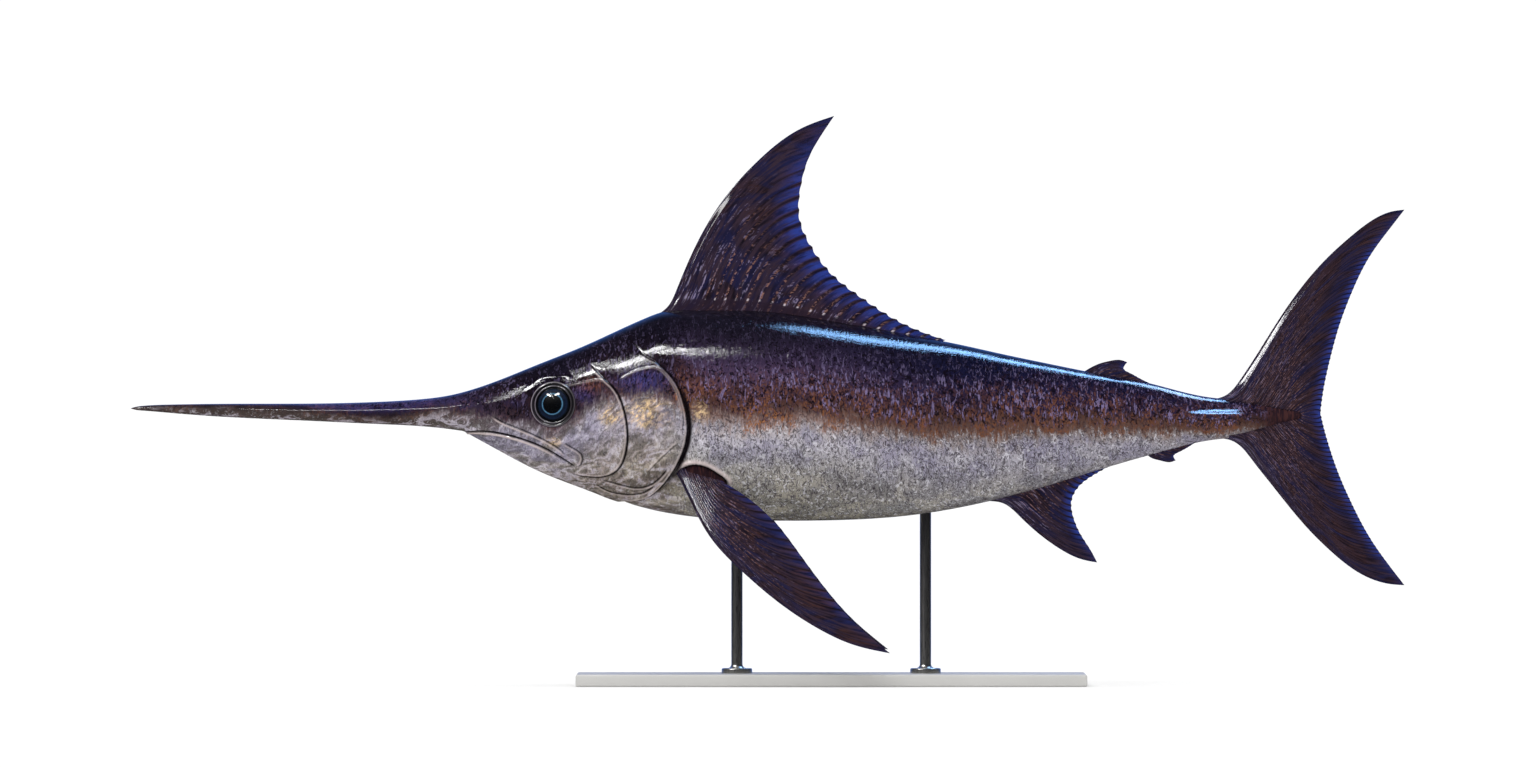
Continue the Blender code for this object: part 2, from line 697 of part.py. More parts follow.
def make_stand():
    """A flat base and two rods, just long enough to hold the fish's lowest fin clear of it."""
    bpy.ops.mesh.primitive_cube_add(size=1)
    base = bpy.context.object
    base.name = "stand_base"
    base.data.transform(((BASE_LENGTH * MM, 0, 0, 0), (0, BASE_WIDTH * MM, 0, 0),
                         (0, 0, BASE_THICKNESS * MM, 0), (0, 0, 0, 1)))
    for group in base.users_collection:
        group.objects.unlink(base)
    parts.objects.link(base)
    base.location = ((STAND_MIDDLE - TOTAL_LENGTH / 2) * MM, 0, BASE_THICKNESS / 2 * MM)
    base.data.materials.append(material("stand_base"))
    bevel = base.modifiers.new("edge", "BEVEL")
    bevel.width = BASE_EDGE * MM
    bevel.segments = 2
    under = loft("rod_clearance", [*TRUNK, *REAR], grow=GAP)
    for name, along in ROD_PLACES.items():
        foot = BASE_THICKNESS + GAP - LEVEL_HEIGHT
        top = belly(along) + 30
        profile = ((0, top), (ROD_RADIUS, top), (ROD_RADIUS, foot + ROD_FOOT_HEIGHT + 8),
                   (ROD_RADIUS + 3, foot + ROD_FOOT_HEIGHT), (ROD_FOOT_RADIUS - 3, foot + ROD_FOOT_HEIGHT),
                   (ROD_FOOT_RADIUS, foot + ROD_FOOT_HEIGHT - 3), (ROD_FOOT_RADIUS, foot), (0, foot))
        bm = bmesh.new()
        line = [bm.verts.new((out * MM, 0, up * MM)) for out, up in profile]
        edges = [bm.edges.new(pair) for pair in zip(line, line[1:])]
        bmesh.ops.spin(bm, geom=line + edges, cent=(0, 0, 0), axis=(0, 0, 1), angle=2 * math.pi,
                       steps=24, use_merge=True)
        bmesh.ops.remove_doubles(bm, verts=bm.verts, dist=1e-6)
        rod = add_object("stand_rod_" + name, to_mesh("rod", bm), "stand_steel")
        rod.location = spot(along, 0, 0)
        combine(rod, under, "DIFFERENCE")
        keep_largest(rod)
        finish_shading(rod, 30)


for old in list(bpy.data.objects):
    bpy.data.objects.remove(old)
parts = bpy.data.collections.new("swordfish")
cutters = bpy.data.collections.new("cutters")
for folder in (parts, cutters):
    bpy.context.scene.collection.children.link(folder)
carrier = bpy.data.objects.new("swordfish_carrier", None)
parts.objects.link(carrier)
carrier.location = (-TOTAL_LENGTH / 2 * MM, 0, LEVEL_HEIGHT * MM)

make_bill()
make_head()
make_jaw()
make_gill_covers()
make_eyes()
make_body()
make_middle_fins()
make_tail_fin()
make_pectoral_fins()
make_stand()
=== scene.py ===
# %% [markdown]
# # A swordfish on its stand
#
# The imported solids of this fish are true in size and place, but faceted and plain. This script
# dresses them: it makes one fine skin over the flesh, finer fins, the eyes and their rims, and a
# finish for each. It starts by loading the solids as a fixed frame, and nothing in it moves.

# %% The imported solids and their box
import math

import bmesh
import bpy
import numpy as np
from mathutils import Matrix, Vector


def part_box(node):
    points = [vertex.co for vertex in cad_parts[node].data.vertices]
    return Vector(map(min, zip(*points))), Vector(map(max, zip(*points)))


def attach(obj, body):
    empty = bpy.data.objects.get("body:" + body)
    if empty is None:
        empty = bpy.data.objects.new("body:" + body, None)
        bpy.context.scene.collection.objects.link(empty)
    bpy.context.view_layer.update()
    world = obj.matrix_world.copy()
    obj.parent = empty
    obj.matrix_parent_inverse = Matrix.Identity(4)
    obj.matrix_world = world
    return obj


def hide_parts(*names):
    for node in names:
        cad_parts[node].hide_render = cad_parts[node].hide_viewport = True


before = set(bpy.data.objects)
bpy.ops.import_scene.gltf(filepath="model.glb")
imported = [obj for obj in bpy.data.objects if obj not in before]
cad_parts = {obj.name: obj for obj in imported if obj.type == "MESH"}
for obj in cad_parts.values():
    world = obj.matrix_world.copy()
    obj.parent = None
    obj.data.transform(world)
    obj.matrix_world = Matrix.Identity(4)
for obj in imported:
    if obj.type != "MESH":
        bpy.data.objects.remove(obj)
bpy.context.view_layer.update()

# %% [markdown]
# A fish has no straight edge to measure from, so it is drawn in millimetres in a frame of its own.
# Along runs back from the tip of the bill, up is measured from the level line through the tail
# stalk's keels, and out runs sideways from the middle plane. One function turns such places into
# the metres of the scene, for one point or a whole array.

# %% The fish's own frame
MM = 0.001
TOTAL_LENGTH = 2500
LEVEL_HEIGHT = 530


def place(along, out, up):
    """Places on the fish, in mm, as metres in the scene."""
    return np.stack([along - TOTAL_LENGTH / 2, out, up + LEVEL_HEIGHT], axis=-1) * MM


print("the bill's tip is at", place(0, 0, 0), "m")

# %% [markdown]
# The camera stands level with the fish's flank, square to its left side, as in the photo. The photo
# shows no perspective, which a very long lens far away gives. The view is 3.014 m wide at the
# fish's middle plane, so that the bill's tip and the tail reach the same places in the picture.

# %% Camera
FRAME_WIDTH = 3.0141
VIEW_ALONG, VIEW_HEIGHT = 0.001, 0.5918  # the middle of the picture, in metres
LENS, SENSOR = 500, 36
CLIP_END = 2000  # past the far edge of the floor

camera = bpy.data.objects.new("camera", bpy.data.cameras.new("camera"))
bpy.context.scene.collection.objects.link(camera)
camera.data.lens = LENS
camera.data.sensor_width = SENSOR
camera.location = (VIEW_ALONG, -FRAME_WIDTH * LENS / SENSOR, VIEW_HEIGHT)
camera.rotation_euler = (math.pi / 2, 0, 0)
camera.data.clip_end = CLIP_END
bpy.context.scene.camera = camera
print("the camera stands", round(-camera.location.y, 1), "m to the left of the fish")

# %% [markdown]
# Two small helpers serve every finish. The first turns a colour as a painter writes it, a hex code
# in sRGB, into the linear values that shaders work with. The second adds one node to a material,
# sets it up and links what feeds it, so that each finish below reads as a list of its layers.

# %% Colour and node helpers


def linear(code):
    """An sRGB hex colour as linear RGBA."""
    parts = [int(code[k : k + 2], 16) / 255 for k in (1, 3, 5)]
    return (*[p / 12.92 if p <= 0.04045 else ((p + 0.055) / 1.055) ** 2.4 for p in parts], 1)


def add(tree, kind, inputs=(), stops=(), take=None, **settings):
    """Adds a node, sets it up and links what feeds it. Inputs are given by name or in their order,
    each as a value or another node's output. Stops are a colour ramp's (position, hex colour)
    pairs. It returns the output named by take, or else the first."""
    node = tree.nodes.new("ShaderNode" + kind)
    for name, value in settings.items():
        setattr(node, name, value)
    if stops:
        ramp = node.color_ramp.elements
        ramp.remove(ramp[1])
        ramp[0].position, ramp[0].color = stops[0][0], linear(stops[0][1])
        for position, code in stops[1:]:
            ramp.new(position).color = linear(code)
    sockets = [s for s in node.inputs if s.enabled]
    if isinstance(inputs, dict):
        pairs = [(next(s for s in sockets if s.name == name), v) for name, v in inputs.items()]
    else:
        pairs = zip(sockets, inputs)
    for socket, value in pairs:
        if isinstance(value, bpy.types.NodeSocket):
            tree.links.new(value, socket)
        else:
            socket.default_value = value
    return node.outputs[take] if take else next((s for s in node.outputs if s.enabled), None)


def new_finish(name):
    """A named material with its node tree and its shader."""
    made = bpy.data.materials.new(name)
    made.use_nodes = True
    return made, made.node_tree, made.node_tree.nodes["Principled BSDF"]


print("middle grey is", round(linear("#808080")[0], 3), "in linear light")

# %% [markdown]
# Each finished mesh becomes a piece in the same way: it rides on the model, stands for the solids
# that it covers, and takes its finish. Its place is in its mesh, so the object itself stays at the
# origin. All the meshes are shaded smooth, and a piece with hard edges, such as the stand, gets
# them marked afterwards.

# %% Making a piece


def make_piece(name, bm, finish, covered):
    """A mesh as a piece of the model that takes the place of the covered solids."""
    mesh = bpy.data.meshes.new(name)
    bm.to_mesh(mesh)
    bm.free()
    mesh.materials.append(finish)
    mesh.shade_smooth()
    piece = bpy.data.objects.new(name, mesh)
    bpy.context.scene.collection.objects.link(piece)
    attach(piece, "root")
    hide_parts(*covered)
    mesh.calc_loop_triangles()
    print(name, "has", len(mesh.loop_triangles), "triangles")
    return piece


# %% [markdown]
# The body's form comes from a few lines, as a shipbuilder draws a hull: the back, the belly, the
# half breadth and the level of the widest place, each along the length. A natural cubic runs
# through the points of each line, and a section at any place is an oval whose fullness also varies.

# %% The lines of the body
BACK_LINE = (
    (0, 14), (8, 16.5), (24, 19), (78, 21.5), (188, 23), (353, 23.5), (490, 27), (569, 32),
    (628, 40), (667, 50), (726, 70.5), (804, 102), (883, 133.5), (961, 169), (1001, 187),
    (1040, 201), (1118, 206), (1236, 204), (1315, 194.5), (1413, 177), (1511, 160), (1609, 143),
    (1707, 121.5), (1805, 101), (1903, 81.5), (2001, 63), (2060, 47.5), (2119, 35.5), (2178, 30),
    (2237, 20), (2300, 6),
)
BILL_UNDERLINE = (
    (0, 14), (8, 11.5), (24, 9.5), (78, 5), (188, -3), (353, -10.5), (490, -17), (569, -21),
    (628, -27), (700, -38),
)
BELLY_LINE = (
    (655, -31.5), (726, -70.5), (804, -110.5), (883, -141), (961, -168), (1040, -188.5),
    (1118, -200), (1275, -206.5), (1413, -204.5), (1511, -198), (1609, -184), (1713, -161.5),
    (1809, -135.5), (1919, -101), (2041, -66.5), (2119, -48.5), (2178, -41), (2237, -24),
    (2300, -6),
)
HALF_BREADTH = (
    (0, 1.5), (8, 4.5), (24, 8.5), (78, 14), (188, 21.5), (353, 29.5), (490, 35), (569, 39),
    (655, 46), (726, 55), (804, 69), (883, 88), (961, 106), (1040, 121), (1118, 130.5),
    (1236, 134.5), (1413, 129), (1511, 120), (1609, 108), (1707, 94.5), (1805, 80.5), (1903, 66.5),
    (2001, 53), (2119, 38), (2178, 30), (2237, 20), (2300, 8),
)
WIDEST_LEVEL = ((0, 14), (188, 10), (353, 6.5), (655, 5), (804, 0), (1000, -8), (1300, -10),
                (1700, -4), (2000, 0), (2300, 0))
FULLNESS_ABOVE = ((0, 2.0), (569, 2.0), (700, 2.1), (830, 2.25), (1000, 2.15), (1300, 2.1),
                  (1900, 2.0), (2300, 2.0))
FULLNESS_BELOW = ((0, 2.0), (655, 1.95), (830, 1.85), (1000, 2.0), (1300, 2.15), (2000, 2.0),
                  (2300, 2.0))
JAW_TIP = 655
STALK_END = 2300


def spline(points):
    """A natural cubic through (x, y) points, as a function of x."""
    x, y = np.array(points, float).T
    step = np.diff(x)
    slope = np.diff(y) / step
    count = len(x)
    matrix = np.eye(count)
    known = np.zeros(count)
    for i in range(1, count - 1):
        matrix[i, i - 1 : i + 2] = step[i - 1], 2 * (step[i - 1] + step[i]), step[i]
        known[i] = 6 * (slope[i] - slope[i - 1])
    bend = np.linalg.solve(matrix, known)

    def at(value):
        value = np.clip(value, x[0], x[-1])
        i = np.clip(np.searchsorted(x, value) - 1, 0, count - 2)
        a, b, h = x[i + 1] - value, value - x[i], step[i]
        curve = (bend[i] * a**3 + bend[i + 1] * b**3) / (6 * h)
        return curve + (y[i] / h - bend[i] * h / 6) * a + (y[i + 1] / h - bend[i + 1] * h / 6) * b

    return at


back = spline(BACK_LINE)
bill_under = spline(BILL_UNDERLINE)
belly = spline(BELLY_LINE)
half_breadth = spline(HALF_BREADTH)
widest_level = spline(WIDEST_LEVEL)
fullness_above = spline(FULLNESS_ABOVE)
fullness_below = spline(FULLNESS_BELOW)
deepest, widest = float(back(1236) - belly(1236)), 2 * float(half_breadth(1236))
print("the body is", round(deepest), "mm deep and", round(widest), "mm wide")

# %% [markdown]
# Now any place on the skin can be found. An oval of a given fullness runs through the back, the
# widest place and the belly of its section, and a low ridge, the keel, grows out of each side of
# the tail stalk. The skin could be lofted through a few such sections instead, but a function gives
# every point exactly, and it can be asked again for the lines of the head and for the fins' roots.

# %% The sections
KEEL_MIDDLE, KEEL_LENGTH, KEEL_OUT, KEEL_THICKNESS = 2150, 130, 20, 9


def underside(along):
    return np.where(along < JAW_TIP, bill_under(along), belly(along))


def half_section(along, upper):
    """The height of the upper or lower half of a section, and the power that gives its fullness."""
    level = widest_level(along)
    reach = np.where(upper, back(along) - level, level - underside(along))
    return level, reach, 2 / np.where(upper, fullness_above(along), fullness_below(along))


def skin_at(along, turn):
    """(along, out, up) on the smooth skin at each turn round the body: 0 the back, pi the belly."""
    level, reach, power = half_section(along, np.cos(turn) >= 0)
    up = level + np.sign(np.cos(turn)) * reach * abs(np.cos(turn)) ** power
    out = half_breadth(along) * abs(np.sin(turn)) ** power
    rise = np.clip(1 - ((along - KEEL_MIDDLE) / KEEL_LENGTH) ** 2, 0, 1) ** 1.5
    out = out + KEEL_OUT * rise * np.exp(-((up / KEEL_THICKNESS) ** 2))
    return np.stack([along, np.sign(np.sin(turn)) * out, up], axis=-1)


def on_right_side(along, up):
    """(along, out, up) on the right side of the smooth skin, where a side view shows that place."""
    along, up = np.asarray(along, float), np.asarray(up, float)
    level, reach, power = half_section(along, up >= widest_level(along))
    cosine = np.clip(abs(up - level) / reach, 0, 1) ** (1 / power)
    return skin_at(along, np.arccos(np.clip(np.sign(up - level) * cosine, -1, 1)))


print("the keel's edge stands", round(float(skin_at(KEEL_MIDDLE, math.pi / 2)[1]), 1), "mm out")

# %% [markdown]
# A fish's head is a puzzle of bony plates under thin skin, and the photo shows where they meet: the
# gill slit, the cheek plate's edge, the jaw bones and the mouth. Each is drawn as a few points on a
# side view. The skin is then pushed in or out by its distance from these lines, which keeps it in
# one piece, where cutting it up would leave open seams.

# %% The lines on the head, each as (along, up)
GILL_SLIT = ((976, 154), (991, 136), (1010, 117), (1029, 106), (1040, 98), (1059, 79), (1074, 57),
             (1085, 27), (1091, 0), (1093, -30), (1087, -63), (1066, -108), (1040, -142),
             (1014, -161), (969, -167), (939, -169))
CHEEK_EDGE = ((884, 113), (909, 94), (927, 75), (950, 53), (965, 23), (974, -15), (976, -37),
              (972, -75), (961, -101), (946, -114), (927, -120), (901, -120), (871, -115),
              (849, -108))
COVER_RIDGE = ((950, 64), (984, 87), (1006, 94), (1033, 96), (1051, 83), (1070, 57), (1082, 23),
               (1086, -15), (1078, -52))
COVER_SEAM = ((1078, -52), (1051, -75), (1025, -101), (1012, -114))
THROAT_FOLD_HIGH = ((920, -125), (946, -131), (984, -140), (1010, -139), (1033, -127), (1059, -97))
THROAT_FOLD_LOW = ((909, -131), (935, -146), (969, -153), (1006, -150), (1036, -131))
JAW_BONE = ((706, 4), (721, -7), (743, -18), (774, -30), (807, -45), (834, -60), (852, -75),
            (858, -84))
JAW_FOLD = ((849, -52), (871, -65), (888, -80), (884, -97), (877, -103))
MOUTH = ((655, -32), (683, -31), (713, -33), (751, -41), (785, -52), (819, -67), (841, -80),
         (860, -92), (877, -103))
CHEEK_TOP = ((849, 60), (871, 64), (901, 70), (927, 71), (939, 66))
BROW = ((789, 57), (804, 72), (834, 76), (868, 80))
SHOULDER_FOLD = ((1063, -123), (1070, -112), (1085, -101), (1108, -95), (1134, -101), (1156, -114),
                 (1173, -131), (1171, -144))
FLANK_SCRATCH = ((1250, -10), (1268, -38), (1299, -88))
lines = {
    "gill_slit": GILL_SLIT, "cheek_edge": CHEEK_EDGE, "cover_ridge": COVER_RIDGE,
    "cover_seam": COVER_SEAM, "throat_fold_high": THROAT_FOLD_HIGH,
    "throat_fold_low": THROAT_FOLD_LOW, "jaw_bone": JAW_BONE, "jaw_fold": JAW_FOLD,
    "mouth": MOUTH, "cheek_top": CHEEK_TOP, "brow": BROW, "shoulder_fold": SHOULDER_FOLD,
    "flank_scratch": FLANK_SCRATCH,
}
print(len(lines), "lines on the head and shoulder")

# %% [markdown]
# Two tools work with these lines. The first lays a line of the side view on the curved skin, as
# short straight runs. The second measures how far each point is from it, which side it lies on, and
# how far along it the nearest place is. It measures in space and not on the side view, so that a
# groove keeps its width where the head curves away from the camera.

# %% Drawing and measuring a line


def fine(points, count):
    """Points spread evenly on the smooth curve through a few."""
    points = np.array(points, float)
    run = np.concatenate([[0], np.cumsum(np.linalg.norm(np.diff(points, axis=0), axis=1))])
    curves = [spline(np.column_stack([run, column])) for column in points.T]
    return np.column_stack([curve(np.linspace(0, run[-1], count)) for curve in curves])


def draw_on_skin(line, spacing=9):
    """A line of the side view as points on the right side of the skin."""
    length = np.linalg.norm(np.diff(np.array(line, float), axis=0), axis=1).sum()
    along, up = fine(line, max(4, round(length / spacing))).T
    return on_right_side(along, up)


def measure(line, points, outward):
    """For each point on the right side: its distance from a line, counted positive to the left of
    the line's run, and how far along the line the nearest place is, from 0 to 1."""
    nearest = np.full(len(points), np.inf)
    side = np.ones(len(points))
    share = np.zeros(len(points))
    steps = len(line) - 1
    for k, (start, end) in enumerate(zip(line, line[1:])):
        run = end - start
        t = np.clip((points - start) @ run / (run @ run), 0, 1)
        offset = points - start - t[:, None] * run
        distance = np.linalg.norm(offset, axis=1)
        closer = distance < nearest
        turned = np.einsum("ij,ij->i", np.cross(run, offset), outward)
        side = np.where(closer, np.where(turned > 0, -1, 1), side)
        share = np.where(closer, (k + t) / steps, share)
        nearest = np.where(closer, distance, nearest)
    return side * nearest, share


lines = {name: draw_on_skin(line) for name, line in lines.items()}
print("the lines have", sum(len(line) for line in lines.values()), "points on the skin")

# %% [markdown]
# The skin starts as one flat grid, its length standing for along and its width for the turn round
# the body. It is finer on the head than on the bill and flank.

# %% The flat grid
ROUND_COUNT = 160
CLOSER = 0.1  # brings the grid's lines together along the back, the belly and the keels
ZONES = ((0, 30, 3), (30, JAW_TIP, 9), (JAW_TIP, 1200, 4.2), (1200, 1990, 12), (1990, STALK_END, 6))

counts = [round((end - start) / spacing) for start, end, spacing in ZONES]
zone_ends = np.concatenate([[0], np.cumsum(counts)])
ring_count = int(zone_ends[-1])


def grid_to_body(flat):
    """(along, turn) for points of the flat grid, whose coordinates run from 0 to 1."""
    borders = [ZONES[0][0], *[end for _, end, _ in ZONES]]
    along = np.interp(flat[:, 0] * ring_count, zone_ends, borders)
    turn = 2 * np.pi * flat[:, 1]
    return along, turn - CLOSER * np.sin(4 * turn)


skin_grid = bmesh.new()
bmesh.ops.create_grid(skin_grid, x_segments=ring_count, y_segments=ROUND_COUNT, size=0.5)
bmesh.ops.translate(skin_grid, verts=skin_grid.verts, vec=(0.5, 0.5, 0))
print(ring_count, "rings of", ROUND_COUNT, "faces")

# %% [markdown]
# A crease needs faces about a millimetre wide, which would be far too many for the whole fish. So
# only the faces beside the lines are split, twice. A subdivision of the finished skin would have to
# guess where the new points lie. On the flat grid they can be set exactly on the curved skin later.

# %% A finer grid beside the lines
NEAR_LINE = (9, 4.5)  # faces closer than this to a line are split, in mm, in two passes


def flat_points(bm):
    return np.array([v.co[:2] for v in bm.verts])


def right_side(points):
    """The points with their out taken as positive."""
    return np.column_stack([points[:, 0], abs(points[:, 1]), points[:, 2]])


for reach in NEAR_LINE:
    points = right_side(skin_at(*grid_to_body(flat_points(skin_grid))))
    skin_grid.verts.index_update()
    close = np.zeros(len(points), bool)
    for line in lines.values():
        near = (points >= line.min(axis=0) - reach).all(axis=1)
        near &= (points <= line.max(axis=0) + reach).all(axis=1)
        chosen = np.flatnonzero(near)
        distance = measure(line, points[chosen], points[chosen])[0]
        close[chosen[abs(distance) < reach]] = True
    faces = [f for f in skin_grid.faces if any(close[v.index] for v in f.verts)]
    edges = list({e for f in faces for e in f.edges})
    bmesh.ops.subdivide_edges(skin_grid, edges=edges, cuts=1, use_grid_fill=True,
                              use_single_edge=True)
print("skin grid of", len(skin_grid.verts), "points")

# %% [markdown]
# Each point then gets its place. It is set on the smooth skin, and moved along the direction that
# the skin faces there, outwards for a ridge and inwards for a groove. The forms of the head are a
# few simple curves of the distance from a line: a narrow bell for a groove, and a smooth step for
# the edge of a plate.

# %% Curves and directions for shaping


def smooth_step(low, high, value):
    t = np.clip((value - low) / (high - low), 0, 1)
    return t * t * (3 - 2 * t)


def bell(distance, width):
    return np.exp(-((distance / width) ** 2))


def outward_at(along, turn):
    """The direction that the smooth skin faces at each place."""
    nudge = 0.5
    lengthwise = skin_at(along + nudge, turn) - skin_at(along - nudge, turn)
    girthwise = skin_at(along, turn + 0.01) - skin_at(along, turn - 0.01)
    faced = np.cross(lengthwise, girthwise)
    faced /= np.maximum(np.linalg.norm(faced, axis=1), 1e-9)[:, None]
    middle = np.stack([along, np.zeros_like(along), widest_level(along)], axis=-1)
    inward = np.einsum("ij,ij->i", faced, skin_at(along, turn) - middle) < 0
    faced[inward] *= -1
    return faced


def ends_fade(share, start, end):
    """1 along a line, fading over its first and last stretches, given as shares of its length."""
    return smooth_step(0, start, share) * smooth_step(1, 1 - end, share)


along, turn = grid_to_body(flat_points(skin_grid))
smooth = skin_at(along, turn)
outward = outward_at(along, turn)
points = right_side(smooth)
print("the skin's points run from", points.min(axis=0).round(), "to", points.max(axis=0).round())

# %% [markdown]
# Every point of the head is measured from every line once. Lift is how far the point is pushed
# outwards, in mm. Painted shade and painted highlight are kept beside it: they say where a groove
# is painted darker, as shade would fall in it, and where a raised rim is painted paler, as if it
# caught the light, and the finish reads them later.

# %% Distances from the lines
FAR = 1e3  # stands for the distance of a point that is not on the head
LINES_END = 1320  # no line reaches further along than this

faced = np.column_stack([outward[:, 0], abs(outward[:, 1]), outward[:, 2]])
on_head = (along > JAW_TIP - 20) & (along < LINES_END)
found = {name: (np.full(len(points), FAR), np.zeros(len(points))) for name in lines}
for name, line in lines.items():
    distance, share = measure(line, points[on_head], faced[on_head])
    found[name][0][on_head] = distance
    found[name][1][on_head] = share

lift = np.zeros(len(points))
painted_shade = np.zeros(len(points))
pale = np.zeros(len(points))
print(int(on_head.sum()), "points measured from", len(found), "lines")

# %% [markdown]
# The gill cover is a loose bony flap. It stands proud of the body, and its rear edge drops into the
# slit. Behind the cheek the slit's gap is not cut open: a painted shadow darkens it. The cheek
# plate lies on the cover in the same way, but tight, so that only a thin line of painted shade
# shows. Both are steps that fade away on either side, with a groove at the foot. Each groove gets
# painted shade, and a painted highlight runs along the raised edge in front of it.

# %% The gill cover and the cheek plate


def step_down(distance, high, high_reach, low, low_reach, edge):
    """A plate's edge: high before the line and low behind it, fading out away from it."""
    before = high * np.exp(np.minimum(distance, 0) / high_reach)
    behind = -low * np.exp(-np.maximum(distance, 0) / low_reach)
    return before + (behind - before) * smooth_step(*edge, distance)


distance, share = found["gill_slit"]
strength = smooth_step(0.02, 0.3, share)
lift += strength * step_down(distance, 3.0, 38, 3.6, 15, (-2.2, 1.2))
lift -= (0.4 + 2.2 * strength) * bell(distance - 0.8, 1.6)
# Painted shade in the slit's groove, a painted shadow where the slit would gape, and a painted
# highlight along the cover's raised rim.
painted_slit_shadow = smooth_step(0.18, 0.42, share) * smooth_step(0.86, 0.62, share)
painted_shade = np.maximum(painted_shade, (0.45 + 0.55 * strength) * bell(distance - 0.6, 2.2))
painted_shade = np.maximum(painted_shade, painted_slit_shadow * bell(distance - 4.5, 6.0))
pale = np.maximum(pale, 0.55 * strength * bell(distance + 3.4, 1.9))

distance, share = found["cheek_edge"]
strength = ends_fade(share, 0.16, 0.12)
lift += strength * step_down(distance, 1.5, 22, 1.1, 9, (-1.6, 0.8))
lift -= strength * 1.0 * bell(distance - 0.4, 1.1)
# Painted shade along the cheek plate's edge, and a painted highlight on the plate in front of it.
painted_shade = np.maximum(painted_shade, strength * bell(distance - 0.3, 2.5))
pale = np.maximum(pale, 0.6 * strength * bell(distance + 4.2, 1.9))
print("the plates stand up to", round(float(lift.max()), 1), "mm proud")

# %% [markdown]
# The other bones and folds of the head meet in fine seams, and the photo shows an old scratch on
# the flank. They differ only in depth, width, the darkness of the painted shade in them and in how
# far their upper side is raised, so one loop draws them from a table. The raised side also gets a
# painted highlight.

# %% Fine seams
SEAMS = {  # depth in mm, width in mm, darkness, and how much their near side is raised, in mm
    "cover_ridge": (0.6, 1.3, 0.45, 0.6), "cover_seam": (0.8, 1.3, 0.60, 0.9),
    "throat_fold_high": (1.0, 1.4, 0.85, 1.0), "throat_fold_low": (1.0, 1.5, 0.80, 1.0),
    "jaw_bone": (1.0, 1.3, 0.75, 1.2), "jaw_fold": (0.9, 1.3, 0.75, 1.0),
    "cheek_top": (0.6, 1.1, 0.30, 0.5), "flank_scratch": (0.3, 0.9, 0.65, 0.0),
}
for name, (depth, width, painted_shade_darkness, raised) in SEAMS.items():
    distance, share = found[name]
    strength = ends_fade(share, 0.12, 0.12)
    lift += strength * raised * np.exp(-abs(distance) / 7) * np.where(distance < 0, 1, -0.4)
    lift -= strength * depth * bell(distance, width)
    # Painted shade in each seam, and a painted highlight on its raised side.
    painted_shade = np.maximum(painted_shade, strength * painted_shade_darkness * bell(distance, width * 1.3))
    pale = np.maximum(pale, 0.6 * strength * raised * bell(distance + 3.8, 2.0))
print(len(SEAMS), "seams drawn")

# %% [markdown]
# The mouth is shut. It is a deep narrow groove between two round lips, painted dark inside as
# shade, with a painted highlight on the lower lip. Above the eye is the brow, a low bony ridge. A
# fold of skin runs over the root of the fin on the shoulder, and it is a round rim with a hollow
# under it, filled with the flesh of the root. Painted shade darkens the hollow, and a painted
# highlight lies along the rim.

# %% The mouth, the brow and the fold over the shoulder
distance, share = found["mouth"]
strength = ends_fade(share, 0.02, 0.06)
lift -= strength * 5.0 * bell(distance, 1.9)
lift += strength * (1.7 * bell(distance - 5.0, 3.4) + 2.2 * bell(distance + 4.6, 3.2))
# Painted shade in the mouth's groove, and a painted highlight on the lower lip.
painted_shade = np.maximum(painted_shade, strength * bell(distance, 2.3))
pale = np.maximum(pale, strength * smooth_step(0.95, 0.6, share) * bell(distance + 4.4, 2.6))

distance, share = found["brow"]
lift += 1.4 * ends_fade(share, 0.3, 0.3) * bell(distance, 5)

distance, share = found["shoulder_fold"]
strength = ends_fade(share, 0.14, 0.14)
lift += strength * 6.5 * bell(distance - 4, 5.5)
lift -= strength * 4.0 * bell(distance + 5, 4)
# Painted shade in the hollow under the fold, and a painted highlight along its rim.
painted_shade = np.maximum(painted_shade, strength * 0.9 * bell(distance + 3, 3.5))
pale = np.maximum(pale, 0.9 * strength * bell(distance - 5, 4.5))
fleshy_root = smooth_step(0.02, 0.1, share) * smooth_step(0.98, 0.9, share)
fleshy_root *= smooth_step(0, -3, distance) * smooth_step(-36, -30, distance)
print("the deepest groove goes", -round(float(lift.min()), 1), "mm into the skin")

# %% [markdown]
# A swordfish has two nostrils on each side, close in front of the eye. Each is a pit with a raised
# rim, drawn by the distance from one place, and painted dark inside as shade. Along the back, the
# skin swells to meet the root of the first fin, so that the fin seems to grow out of it, and a line
# of painted shade runs where the fin's sheath meets it.

# %% The nostrils and the swelling at the fin's root
NOSTRILS = ((742, 3), (757, -1))
DORSAL_ROOT = (1040, 1590)

for spot_along, spot_up in NOSTRILS:
    away = np.linalg.norm(points - on_right_side(spot_along, spot_up), axis=1)
    lift += 0.3 * bell(away - 4.2, 1.6) - 1.6 * bell(away, 2.6)
    # Painted shade inside each nostril pit.
    painted_shade = np.maximum(painted_shade, 0.9 * bell(away, 2.7))

root = smooth_step(DORSAL_ROOT[0] - 40, DORSAL_ROOT[0] + 60, along)
root *= smooth_step(DORSAL_ROOT[1] + 20, DORSAL_ROOT[1] - 160, along)
top = np.cos(turn) > 0
lift += np.where(top, 3.0 * root * bell(points[:, 1], 12), 0)
# A line of painted shade where the fin's sheath meets the back.
painted_shade = np.maximum(painted_shade, np.where(top, 0.9 * root * bell(points[:, 1] - 13, 4), 0))
print("the skin swells along", DORSAL_ROOT[1] - DORSAL_ROOT[0], "mm of the back")

# %% [markdown]
# The eye sits in a round well, and the skin round it is nearly flat, as the eyeball's bony ring is.
# The eye has axes of its own: the way that it faces, and back and up along the skin. The skin is
# pressed towards the plane across those axes, half of the way, and sunk inside the well.

